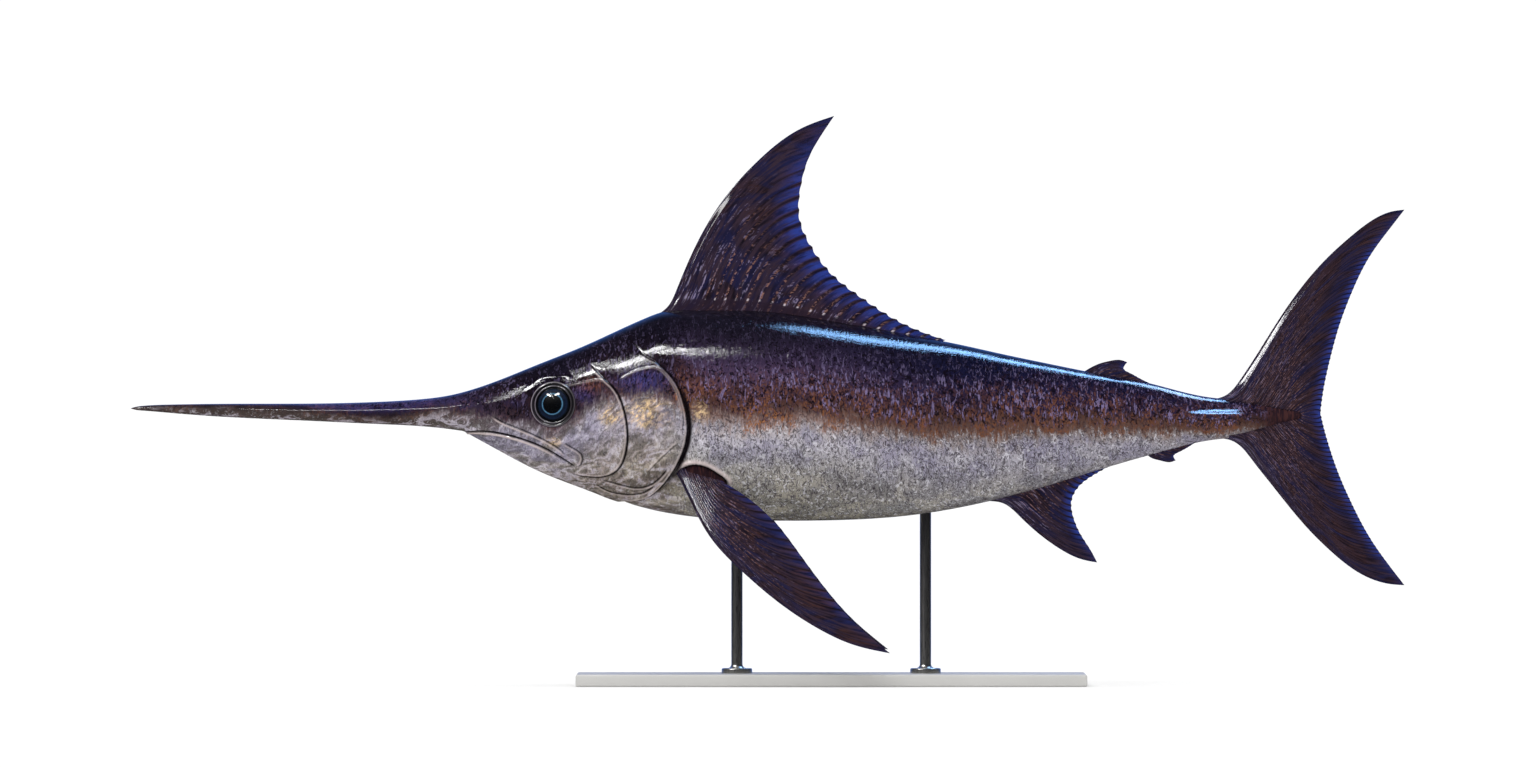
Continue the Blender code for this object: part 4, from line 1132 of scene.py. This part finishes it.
UPPER_TAIL = dict(
    front=((2100, 31), (2128, 33), (2146, 38), (2162, 50), (2180, 74), (2200, 104), (2237, 163),
           (2276, 222), (2315, 273), (2355, 316), (2394, 351), (2433, 381), (2473, 400),
           (2500, 404)),
    rear=((2500, 404), (2473, 369), (2433, 314), (2394, 235), (2374, 182), (2355, 114), (2341, 49),
          (2334, -6)),
    root_end=(2270, -8), rays=38, root_half=14, tip_half=1.3, edge_half=0.8, ridge=0.3,
    crowd=(1.0, 1.0), notch=1.4, painted_blue_rim=15, tint=0.85, sheath=0, flesh=9, nose=(0.12, 0.12),
)
LOWER_TAIL = dict(
    front=((2110, -44), (2138, -45), (2160, -49), (2180, -62), (2200, -86), (2237, -133),
           (2276, -182), (2315, -227), (2355, -266), (2394, -298), (2433, -320), (2473, -331),
           (2500, -333)),
    rear=((2500, -333), (2473, -298), (2433, -241), (2394, -167), (2374, -122), (2355, -69),
          (2341, -20), (2334, 10)),
    root_end=(2270, 12), rays=38, root_half=14, tip_half=1.3, edge_half=0.8, ridge=0.3,
    crowd=(1.0, 1.0), notch=1.4, painted_blue_rim=15, tint=0.85, sheath=0, flesh=9, nose=(0.12, 0.12),
)
for part, outline in (("first back fin", FIRST_DORSAL), ("tail lobe", UPPER_TAIL)):
    print("a", part, "has", outline["rays"], "rays")

# %% [markdown]
# Each fin is filled by a grid with two faces. Its rows run with the rays, which start along the
# root and bend as the front edge does, and its columns cross them. A wave across the grid raises a
# ridge on every ray and lets each ray's end stand out a little from the rear edge. Rays made one by
# one would leave gaps and hard corners, where the real ones lie under one skin.

# %% A fin's section and its two-faced grid
NOSE_COLUMNS = 10  # narrow columns that round the front edge
NOSE_ROUND = 0.2  # the rounded part of the nose; a flat bevel makes up the rest
COLUMNS_PER_RAY = 6
FLESH_FADE = 11  # how fast the swelling at the root dies away, in mm


def smooth_path(outline):
    """A smooth curve through (along, up) points, as complex numbers, by the share of its length."""
    outline = np.array(outline, float)
    run = np.concatenate([[0], np.cumsum(np.linalg.norm(np.diff(outline, axis=0), axis=1))])
    x, y = (spline(np.column_stack([run / run[-1], column])) for column in outline.T)
    return lambda share: x(share) + 1j * y(share)


def foil(share, nose_share, start):
    """A fin's thickness across its width: round in front, bevelled, then thin at the rear."""
    across = np.clip(share / nose_share, 0, 1)
    rounded = start * np.sqrt(np.clip(1 - (1 - np.clip(across / NOSE_ROUND, 0, 1)) ** 2, 0, 1))
    bevel = (1 - start) * np.clip((across - NOSE_ROUND) / (1 - NOSE_ROUND), 0, 1)
    nose = rounded + bevel
    blade = 1.35 * np.sqrt(share) * (1 - share) ** 1.2 + 0.35 * (1 - share)
    return nose * blade, nose


def two_faced_grid(columns, rows):
    """A grid from 0 to 1 each way, with a left face at -1 and a right face at 1."""
    bm = bmesh.new()
    bmesh.ops.create_grid(bm, x_segments=columns, y_segments=rows, size=0.5)
    bmesh.ops.translate(bm, verts=bm.verts, vec=(0.5, 0.5, -1))
    run = bmesh.ops.extrude_face_region(bm, geom=bm.faces[:], use_keep_orig=True)
    moved = [v for v in run["geom"] if isinstance(v, bmesh.types.BMVert)]
    bmesh.ops.translate(bm, verts=moved, vec=(0, 0, 2))
    return bm


def half_thickness(outline, share, reach, wave, rise):
    """A fin's half thickness, in mm: the blade, its rays' ridges and the flesh at its root."""
    nose_share, nose_start = outline["nose"]
    full, nose = foil(share, nose_share, nose_start)
    full = outline["root_half"] * full * (1 - reach) ** 0.7
    thin = outline["edge_half"] + (outline["tip_half"] - outline["edge_half"]) * (1 - share)
    half = np.maximum(full, thin * nose)
    grown = smooth_step(0, 0.1, reach) * (0.35 + 0.65 * smooth_step(0.1, 0.5, reach))
    ridged = smooth_step(0.02, 0.25, share) * grown * wave**2 * smooth_step(1.0, 0.96, share)
    half = half + outline["ridge"] * ridged
    fleshy = outline["flesh"] * np.exp(-rise / FLESH_FADE)
    if outline["sheath"]:
        sheath = outline["sheath"] * smooth_step(1.0, 0.3, share)
        fleshy = fleshy + 1.5 * smooth_step(sheath + 3, sheath - 3, rise)
    return half + fleshy * nose * smooth_step(1.0, 0.85, share)


bm = two_faced_grid(2, 2)
print("the smallest two-faced grid has", len(bm.faces), "faces")
bm.free()

# %% [markdown]
# Now a fin can be made from its outline. Every point of the grid has a share, from the front edge
# to the rear one, and a reach, from the root to the tip. They give its ray, its place on the ray
# and its thickness, and they are kept on the mesh, so that the fin's skin can follow the rays too.

# %% Making a fin
SHEATH_FADE = 10  # the sheath of the root fades over this height, in mm
NO_SHEATH = 9  # the value kept for a fin without one, far above it
RAY_PITCH = 10  # each ray is this wide to the pattern, so all the fins have streaks of one kind
FACE_SHIFT = 5  # moves the pattern between the two faces, in mm


def make_fin(name, outline, line, covered, rows, place_at=place):
    """A fin whose root keeps along a line of the body from its front edge to its root_end."""
    rays = outline["rays"]
    columns = NOSE_COLUMNS + rays * COLUMNS_PER_RAY
    bm = two_faced_grid(columns, rows)
    column, reach, side = np.array([v.co[:] for v in bm.verts]).T
    column, reach = np.clip(column, 0, 1) * columns, np.clip(reach, 0, 1)
    nose_share = outline["nose"][0]
    share = nose_share * np.clip(column / NOSE_COLUMNS, 0, 1) ** 2
    share += (1 - nose_share) * np.clip((column - NOSE_COLUMNS) / (columns - NOSE_COLUMNS), 0, 1)

    (start, first), (end, last) = outline["front"][0], outline["root_end"]
    first, last = first - float(line(start)), last - float(line(end))
    base_crowd, edge_crowd = outline["crowd"]
    t = share**base_crowd
    root_along = start + (end - start) * t
    root = root_along + 1j * (line(root_along) + first + (last - first) * t)
    front, rear = smooth_path(outline["front"]), smooth_path(outline["rear"])
    phase = np.clip((share - nose_share) / (1 - nose_share), 0, 1) * rays
    wave = 0.5 - 0.5 * np.cos(2 * np.pi * phase)
    from_front = smooth_step(0.02, 0.25, share)
    tip = rear(share**edge_crowd)
    shape = (front(reach) - front(0)) / (front(1) - front(0))
    ray = root + (tip - root) * shape
    away = (tip - root) / np.maximum(abs(tip - root), 1)
    at_edge = from_front * smooth_step(0.93, 1.0, reach) * smooth_step(1.0, 0.97, share)
    ray = ray + away * outline["notch"] * at_edge * (wave**2 - 0.6)
    rise = abs(ray.imag - line(ray.real)) if place_at is place else abs(ray - root)
    half = half_thickness(outline, share, reach, wave, rise)
    sheath = outline["sheath"] * smooth_step(1.0, 0.3, share)

    store(bm, "reach", reach.tolist())
    store(bm, "share", share.tolist())
    store(bm, "ray", (wave**2 * from_front).tolist())
    # The painted blue rim light, strongest at the rear edge.
    store(bm, "painted_blue_rim", (outline["tint"] * np.exp(-abs(tip - ray) / outline["painted_blue_rim"])).tolist())
    above_sheath = (rise - sheath) / SHEATH_FADE if outline["sheath"] else NO_SHEATH + 0 * rise
    store(bm, "sheath", above_sheath.tolist())
    across_rays = share * rays * RAY_PITCH
    store_lie(bm, np.column_stack([across_rays, abs(ray - root), side * FACE_SHIFT]) * MM)
    for vertex, position in zip(bm.verts, place_at(ray.real, side * half, ray.imag)):
        vertex.co = position
    bmesh.ops.remove_doubles(bm, verts=bm.verts, dist=1e-6)
    bmesh.ops.recalc_face_normals(bm, faces=bm.faces)
    if bm.calc_volume(signed=True) < 0:
        bmesh.ops.reverse_faces(bm, faces=bm.faces)
    return make_piece(name, bm, fin_finish, [covered])


print("the first fin on the back is", FIRST_DORSAL["front"][-1][1] - FIRST_DORSAL["front"][0][1],
      "mm tall")

# %% [markdown]
# Fin skin is the same wet hide, nearly black-brown, drawn tight over the rays. Between the rays a
# violet-blue is painted towards the rear edge, standing for blue rim light, and the ridges get
# painted copper glints. Its streaks run with the rays, so the pattern reads the coordinates kept on
# the mesh, across the rays and along them. The real streaks are hair-fine, and they are drawn three
# to four millimetres wide, so as to show.

# %% The marks of the fin skin
FIN_MARKS = {  # the size across the rays and along them, in mm, as for the skin
    "streaks": (3.6, 70, 4, 0.6, 0.4), "threads": (2.6, 34, 3, 0.6, 0.4),
    "broad": (40, 110, 3, 0.6, 1.0), "glints": (4, 9, 3, 0.6, 1.2),
}
FIN_LAYERS = (
    ("#332733", ("streaks", 0.38, 0.60, 0, 1)),
    # Rusty and violet stretches, and hair-fine painted lilac glints.
    ("#3c2725", ("broad", 0.48, 0.62, 0, 1), ("threads", 0.42, 0.62, 0, 0.85)),
    ("#1f2042", ("broad", 0.54, 0.38, 0, 1), ("streaks", 0.62, 0.45, 0, 0.7)),
    ("#a49bb3", ("threads", 0.58, 0.66, 0, 1), ("streaks", 0.45, 0.60, 0.3, 1),
     ("reach", 0.42, 0.08, 0, 0.75)),
    ("#85799a", ("threads", 0.55, 0.64, 0, 1), ("glints", 0.45, 0.60, 0, 1),
     ("reach", 0.95, 0.3, 0, 0.75)),
    # Painted blue rim light between the rays, towards the rear edge.
    ("#2a3b8a", ("painted_blue_rim", 0.10, 0.75, 0, 1), ("share", 0.06, 0.30, 0.25, 1),
     ("threads", 0.32, 0.56, 0.35, 1), ("ray", 0.72, 0.30, 0.15, 1)),
    # The rays: painted copper glints where they rise, dark towards their ends.
    ("#a5786c", ("ray", 0.6, 0.95, 0, 1), ("glints", 0.48, 0.62, 0, 1),
     ("reach", 0.9, 0.5, 0, 0.8)),
    ("#100b12", ("ray", 0.62, 0.9, 0, 1), ("reach", 0.35, 0.75, 0.2, 0.65)),
    # The front edge is navy, and the sheath at the root is dark with a row of painted highlights as
    # pale beads.
    ("#10173a", ("share", 0.016, 0, 0, 0.9)),
    ("#2a1f2c", ("sheath", 0.3, -0.2, 0, 0.7)),
    ("#c4bac4", ("sheath", -0.3, 0, 0, 1), ("sheath", 0.42, 0.15, 0, 1), ("ray", 0.65, 0.97, 0, 1),
     ("share", 0.02, 0.1, 0, 0.9), ("glints", 0.42, 0.54, 0.1, 1)),
)
print(len(FIN_LAYERS), "layers, from", len(FIN_MARKS), "patterns")

# %% [markdown]
# The finish is built as the body's is, from a rough ground, the layers, and a clear wet coat. It
# has no silver in it, so it isn't metallic. To the eye it is nearly black, with a satin gloss. The
# front edge is smooth and bare, so the bumps fade out there and its highlight stays one clean line.

# %% Fin skin


def wet_fin_skin():
    """Dark wet hide over bony rays, satin behind and smooth along the front edge."""
    made, tree, shader = new_finish("wet_fin_skin")
    lie = add(tree, "Attribute", take="Vector", attribute_name="lie")
    read = {name: add(tree, "Attribute", take="Fac", attribute_name=name)
            for name in ("reach", "share", "ray", "painted_blue_rim", "sheath")}
    read |= grow_marks(tree, lie, FIN_MARKS)
    colour = paint_layers(tree, linear("#17121c"), FIN_LAYERS, read)
    tree.links.new(colour, shader.inputs["Base Color"])
    rough = add(tree, "MapRange", (read["streaks"], 0.2, 0.8, 0.34, 0.50), **SMOOTH)
    tree.links.new(rough, shader.inputs["Roughness"])
    shader.inputs["IOR"].default_value = 1.40
    shader.inputs["Specular IOR Level"].default_value = 0.0
    shader.inputs["Coat Weight"].default_value = 0.45
    shader.inputs["Coat Roughness"].default_value = 0.08
    behind_nose = add(tree, "MapRange", (read["share"], 0.03, 0.12, 0.05, 0.6), **SMOOTH)
    bump = add(tree, "Bump", {"Height": read["streaks"], "Strength": behind_nose,
                              "Distance": 0.0010})
    bump = add(tree, "Bump", {"Height": read["glints"], "Strength": behind_nose,
                              "Distance": 0.0006, "Normal": bump})
    tree.links.new(bump, shader.inputs["Normal"])
    film = add(tree, "MapRange", (read["share"], 0.03, 0.12, 0.03, 0.2), **SMOOTH)
    coat = add(tree, "Bump", {"Height": read["streaks"], "Strength": film, "Distance": 0.0010})
    tree.links.new(coat, shader.inputs["Coat Normal"])
    return made


fin_finish = wet_fin_skin()
print(fin_finish.name, "has", len(fin_finish.node_tree.nodes), "nodes")

# %% [markdown]
# Four fins and the two lobes of the tail stand in the fish's middle plane. Their roots keep to the
# line of the back or of the belly, so they sit on the body without a gap. The last number is the
# count of rows, about one for every three to six millimetres of the front edge.

# %% The fins in the middle plane
make_fin("dorsal_fin", FIRST_DORSAL, back, "first_dorsal_fin", 90)
make_fin("second_dorsal", SECOND_DORSAL, back, "second_dorsal_fin", 24)
make_fin("anal_fin", FIRST_ANAL, belly, "first_anal_fin", 60)
make_fin("second_anal", SECOND_ANAL, belly, "second_anal_fin", 20)
make_fin("tail_lobe_upper", UPPER_TAIL, back, "tail_fin_upper", 90)
make_fin("tail_lobe_lower", LOWER_TAIL, belly, "tail_fin_lower", 90)

# %% [markdown]
# The pectoral fins sit low on the shoulders and can't fold against the body. Here they slope down
# and out by 30 degrees, as the solids do, so the same grid is laid on a tilted plane on each side.

# %% The pectoral fins
SHOULDER_UP, SHOULDER_OUT = -118, 104
SPLAY = math.radians(30)


def splayed(way):
    """A place function for a fin on the left (-1) or right (1) shoulder."""

    def at(along, offset, up):
        out = SHOULDER_OUT + (SHOULDER_UP - up) * math.tan(SPLAY) + offset * math.cos(SPLAY)
        return place(along, way * out, up + offset * math.sin(SPLAY))

    return at


def level(along):
    """The line that a splayed fin's root keeps to."""
    return along * 0


for name, way in (("left", -1), ("right", 1)):
    make_fin("pectoral_" + name, PECTORAL, level, "pectoral_fin_" + name, 80, splayed(way))

# %% [markdown]
# The stand is what a museum workshop would make: a slab of board and two steel rods. The board is
# medium-density fibreboard, sprayed with an eggshell paint. To the eye that is an even off-white
# with a dull sheen and a faint orange peel from the spray. The real peel is about a millimetre
# wide, and it is drawn twice as coarse, so as to show. The slab is a cube scaled to the solid's
# box, and its edges are bevelled, as a router would ease them.

# %% The painted slab
BASE_EDGE = 4
PEEL = 2
CLOUDS_PER_METRE = 6.0
HARD_EDGE = math.radians(30)


def eggshell_paint():
    """Sprayed eggshell paint: off-white, dull, with a faint orange peel."""
    made, tree, shader = new_finish("eggshell_painted_board")
    where = add(tree, "TexCoord", take="Object")
    orange_peel = add(tree, "TexNoise", {"Vector": where, "Scale": 1000 / PEEL, "Detail": 2.0})
    shade = add(tree, "TexNoise", {"Vector": where, "Scale": CLOUDS_PER_METRE, "Detail": 3.0})
    colour = add(tree, "ValToRGB", {"Fac": shade}, stops=((0.3, "#c6c5c2"), (0.7, "#cdccc9")))
    tree.links.new(colour, shader.inputs["Base Color"])
    shader.inputs["Roughness"].default_value = 0.45
    bump = add(tree, "Bump", {"Height": orange_peel, "Strength": 0.15, "Distance": 0.0003})
    tree.links.new(bump, shader.inputs["Normal"])
    return made


def make_base():
    low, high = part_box("stand_base")
    bm = bmesh.new()
    bmesh.ops.create_cube(bm, size=1)
    bmesh.ops.scale(bm, vec=high - low, verts=bm.verts)
    bmesh.ops.translate(bm, vec=(low + high) / 2, verts=bm.verts)
    bmesh.ops.bevel(bm, geom=bm.edges[:], offset=BASE_EDGE * MM, offset_type="OFFSET",
                    affect="EDGES", segments=5, profile=0.5, material=-1)
    made = make_piece("stand_board", bm, eggshell_paint(), ["stand_base"])
    made.data.set_sharp_from_angle(angle=HARD_EDGE)


make_base()

# %% [markdown]
# The rods are bright stainless bar, brushed along their length, with turned feet that screw to the
# slab. To the eye that is a clean grey metal with highlights that smear across the grain. The real
# scratches are about a tenth of a millimetre wide, and they are drawn ten times as coarse. A metal
# keeps the default IOR.

# %% Brushed steel
GRAIN_WIDTH, GRAIN_LENGTH = 10 / 9, 100 / 3


def brushed_steel():
    """Stainless steel, brushed along the rod."""
    made, tree, shader = new_finish("brushed_stainless_steel")
    where = add(tree, "TexCoord", take="Object")
    across, along_rod = 1000 / GRAIN_WIDTH, 1000 / GRAIN_LENGTH
    drawn = add(tree, "Mapping", {"Vector": where, "Scale": (across, across, along_rod)})
    lines_of_grain = add(tree, "TexNoise", {"Vector": drawn, "Scale": 1.0, "Detail": 2.0})
    colour = add(tree, "ValToRGB", {"Fac": lines_of_grain},
                 stops=((0.3, "#b4b3b0"), (0.7, "#cfcecb")))
    tree.links.new(colour, shader.inputs["Base Color"])
    shader.inputs["Metallic"].default_value = 1.0
    rough = add(tree, "MapRange", {"Value": lines_of_grain, "To Min": 0.22, "To Max": 0.38})
    tree.links.new(rough, shader.inputs["Roughness"])
    bump = add(tree, "Bump", {"Height": lines_of_grain, "Strength": 0.2, "Distance": 0.0002})
    tree.links.new(bump, shader.inputs["Normal"])
    return made


steel = brushed_steel()
print(steel.name, "has", len(steel.node_tree.nodes), "nodes")

# %% [markdown]
# A rod and its foot are one profile spun about the rod's axis, which is how a lathe makes them. The
# profile has a hollow where the rod meets the foot, and a round on the foot's upper edge. The rod
# runs on a little inside the skin, so that no gap shows at the belly.

# %% The rods
ROD_RADIUS, ROD_FOOT_RADIUS, ROD_FOOT_HEIGHT = 11, 30, 10
ROD_HOLLOW, ROD_ROUND = 8, 3
ROD_PLACES = {"front": 1190, "rear": 1560}
ROD_SINK = 12  # how far a rod runs on inside the skin
ROD_FACETS, ARC_STEPS = 64, 5


def rod_profile(foot, top):
    """The outline of a rod and its foot, as (out from the axis, up), from the top down."""
    shoulder = foot + ROD_FOOT_HEIGHT
    profile = [(0, top), (ROD_RADIUS, top), (ROD_RADIUS, shoulder + ROD_HOLLOW)]
    turns = [math.pi / 2 * k / ARC_STEPS for k in range(ARC_STEPS + 1)]
    profile += [(ROD_RADIUS + ROD_HOLLOW * (1 - math.cos(turned)),
                 shoulder + ROD_HOLLOW * (1 - math.sin(turned))) for turned in turns[1:]]
    profile += [(ROD_FOOT_RADIUS - ROD_ROUND * (1 - math.sin(turned)),
                 shoulder - ROD_ROUND * (1 - math.cos(turned))) for turned in turns]
    return profile + [(ROD_FOOT_RADIUS, foot), (0, foot)]


def make_rod(name, along, finish):
    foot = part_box("stand_rod_" + name)[0].z / MM - LEVEL_HEIGHT
    profile = rod_profile(foot, float(belly(along)) + ROD_SINK)
    bm = bmesh.new()
    middle = along - TOTAL_LENGTH / 2
    line = [bm.verts.new(((middle + out) * MM, 0, (up + LEVEL_HEIGHT) * MM)) for out, up in profile]
    edges = [bm.edges.new(pair) for pair in zip(line, line[1:])]
    bmesh.ops.spin(bm, geom=line + edges, cent=(middle * MM, 0, 0), axis=(0, 0, 1),
                   angle=2 * math.pi, steps=ROD_FACETS, use_merge=True)
    bmesh.ops.remove_doubles(bm, verts=bm.verts, dist=1e-6)
    bmesh.ops.recalc_face_normals(bm, faces=bm.faces)
    made = make_piece("stand_rod_turned_" + name, bm, finish, ["stand_rod_" + name])
    made.data.set_sharp_from_angle(angle=HARD_EDGE)


for name, along_rod in ROD_PLACES.items():
    make_rod(name, along_rod, steel)

# %% [markdown]
# The photo is a cut-out on white. A wide sheet of pale matt paper, lit just past white, gives the
# same clean surround, and keeps a soft shadow under the base. A photographer would sweep the paper
# up behind the fish. Here it simply runs on to a white world, so no horizon shows. The paper has no
# gloss and isn't mirrored in the skin, whose underside would turn white.

# %% Floor
FLOOR_HALF = 400

bm = bmesh.new()
bmesh.ops.create_grid(bm, x_segments=1, y_segments=1, size=FLOOR_HALF)
floor_mesh = bpy.data.meshes.new("floor")
bm.to_mesh(floor_mesh)
bm.free()
floor = bpy.data.objects.new("floor", floor_mesh)
bpy.context.scene.collection.objects.link(floor)
paper, tree, shader = new_finish("pale_paper")
shader.inputs["Base Color"].default_value = linear("#f2f2f2")
shader.inputs["Roughness"].default_value = 1.0
shader.inputs["Specular IOR Level"].default_value = 0.0
floor_mesh.materials.append(paper)
floor.visible_glossy = False
print("the floor is", 2 * FLOOR_HALF, "m wide")

# %% [markdown]
# The world plays three parts. The camera sees plain white. The matt colours are lit from all round,
# more from above than from below, as under a large soft ceiling. And the wet skin mirrors a dark
# room in front and a deep blue sky behind and above, because a mirror needs dark for its highlights
# to read, and the photo's back is edged with blue.

# %% World
world = bpy.data.worlds.new("studio")
bpy.context.scene.world = world
world.use_nodes = True
tree = world.node_tree
rays = add(tree, "LightPath").node.outputs
direction = add(tree, "TexCoord", take="Generated")
parts = add(tree, "SeparateXYZ", {"Vector": direction}).node.outputs
behind = add(tree, "MapRange", {"Value": parts["Y"], "From Min": 0.45, "From Max": 0.95})
high = add(tree, "MapRange", {"Value": parts["Z"], "From Min": -0.15, "From Max": 0.1})
dark = add(tree, "ValToRGB", {"Fac": parts["Z"]}, stops=(
    (0.0, "#15161a"), (0.25, "#101218"), (0.7, "#131622"), (0.95, "#1a2238"),
))
sky = add(tree, "Mix", {"Factor": behind, "A": dark, "B": (0.09, 0.25, 0.80, 1)}, data_type="RGBA")
mirrored = add(tree, "Mix", {"Factor": high, "A": linear("#2c2c2e"), "B": sky}, data_type="RGBA")
lit = add(tree, "MapRange", {"Value": parts["Z"], "From Min": 0.0, "From Max": 1.0,
                             "To Min": 0.50, "To Max": 1.52})
seen = add(tree, "Mix", {"Factor": rays["Is Glossy Ray"], "A": lit, "B": mirrored},
           data_type="RGBA")
seen = add(tree, "Mix", {"Factor": rays["Is Camera Ray"], "A": seen, "B": (1.05, 1.05, 1.05, 1)},
           data_type="RGBA")
tree.links.new(seen, tree.nodes["Background"].inputs["Color"])
bpy.context.scene.view_settings.view_transform = "Standard"
print("the world has", len(tree.nodes), "nodes")

# %% [markdown]
# A wet fish is shaped by what it mirrors. So the lights come in two kinds, as in a product studio:
# one broad key that only lights the matt colours, and narrow strips that are only mirrored. Where a
# strip shows follows from the mirror rule: at each place on the skin, the view turned about the
# skin's direction meets the strip. Painted highlights would be simpler, but they would stay put
# when the fish is seen from another side.

# %% Two kinds of soft box


def soft_box(name, spot, target, size, brightness, tint="#ffffff", mirrored=True):
    """A panel of the given radiance. It is either mirrored by the wet skin or lights it softly."""
    light = bpy.data.lights.new(name, "AREA")
    light.shape = "RECTANGLE"
    light.size, light.size_y = size
    light.energy = brightness * math.pi * size[0] * size[1]
    light.color = linear(tint)[:3]
    made = bpy.data.objects.new(name, light)
    made.location = spot
    made.rotation_euler = (Vector(target) - Vector(spot)).to_track_quat("-Z", "Y").to_euler()
    made.visible_glossy = mirrored
    made.visible_diffuse = not mirrored
    bpy.context.scene.collection.objects.link(made)
    return made


def strip(name, start, end, width, brightness, tint="#ffffff", facing=(0, 0, -1)):
    """A narrow panel between two places, turned about its length to face a given way."""
    start, end = Vector(start), Vector(end)
    lengthwise = (end - start).normalized()
    rear = -Vector(facing)
    rear = (rear - rear.dot(lengthwise) * lengthwise).normalized()
    made = soft_box(name, (start + end) / 2, end, ((end - start).length, width), brightness, tint)
    made.rotation_euler = Matrix((lengthwise, rear.cross(lengthwise), rear)).transposed().to_euler()
    return made


key = soft_box("key", (-1.4, -4.6, 4.2), (0, 0, 0.5), (2.5, 1.6), 5.0, mirrored=False)
print("the key gives", round(key.data.energy, 1), "W")

# %% [markdown]
# Each strip stands for one highlight of the photo: the broken white line over the shoulder and the
# eye, the sky-blue sheen on the rear of the back and on the stalk's keel, and the bright front
# edges of the first fin on the back and of the tail. Their places are in metres. Most hang three
# metres up, and the one for the fin stands close in front of it, because the fin is nearly flat.

# %% The strips
strip("shoulder_strip", (-0.35, -1.95, 3), (-1.35, -2.35, 3), 0.075, 110)
strip("brow_strip", (-2.05, -3.5, 3), (-1.85, -1.25, 3), 0.035, 58)
strip("cool_strip", (0.42, 0.13, 3), (1.32, 1.75, 3), 0.36, 27, "#86bbf7")
strip("stalk_strip", (1.50, 0.9, 3), (1.46, 2.4, 3), 0.22, 26, "#a9cdfb")
strip("dorsal_strip", (-0.60, -0.5, 1.04), (-0.40, -0.5, 1.24), 0.07, 30,
      facing=(0.55, 0.72, -0.33))
strip("tail_strip", (-2.35, -2.35, 3), (-2.65, -1.05, 3), 0.36, 75)
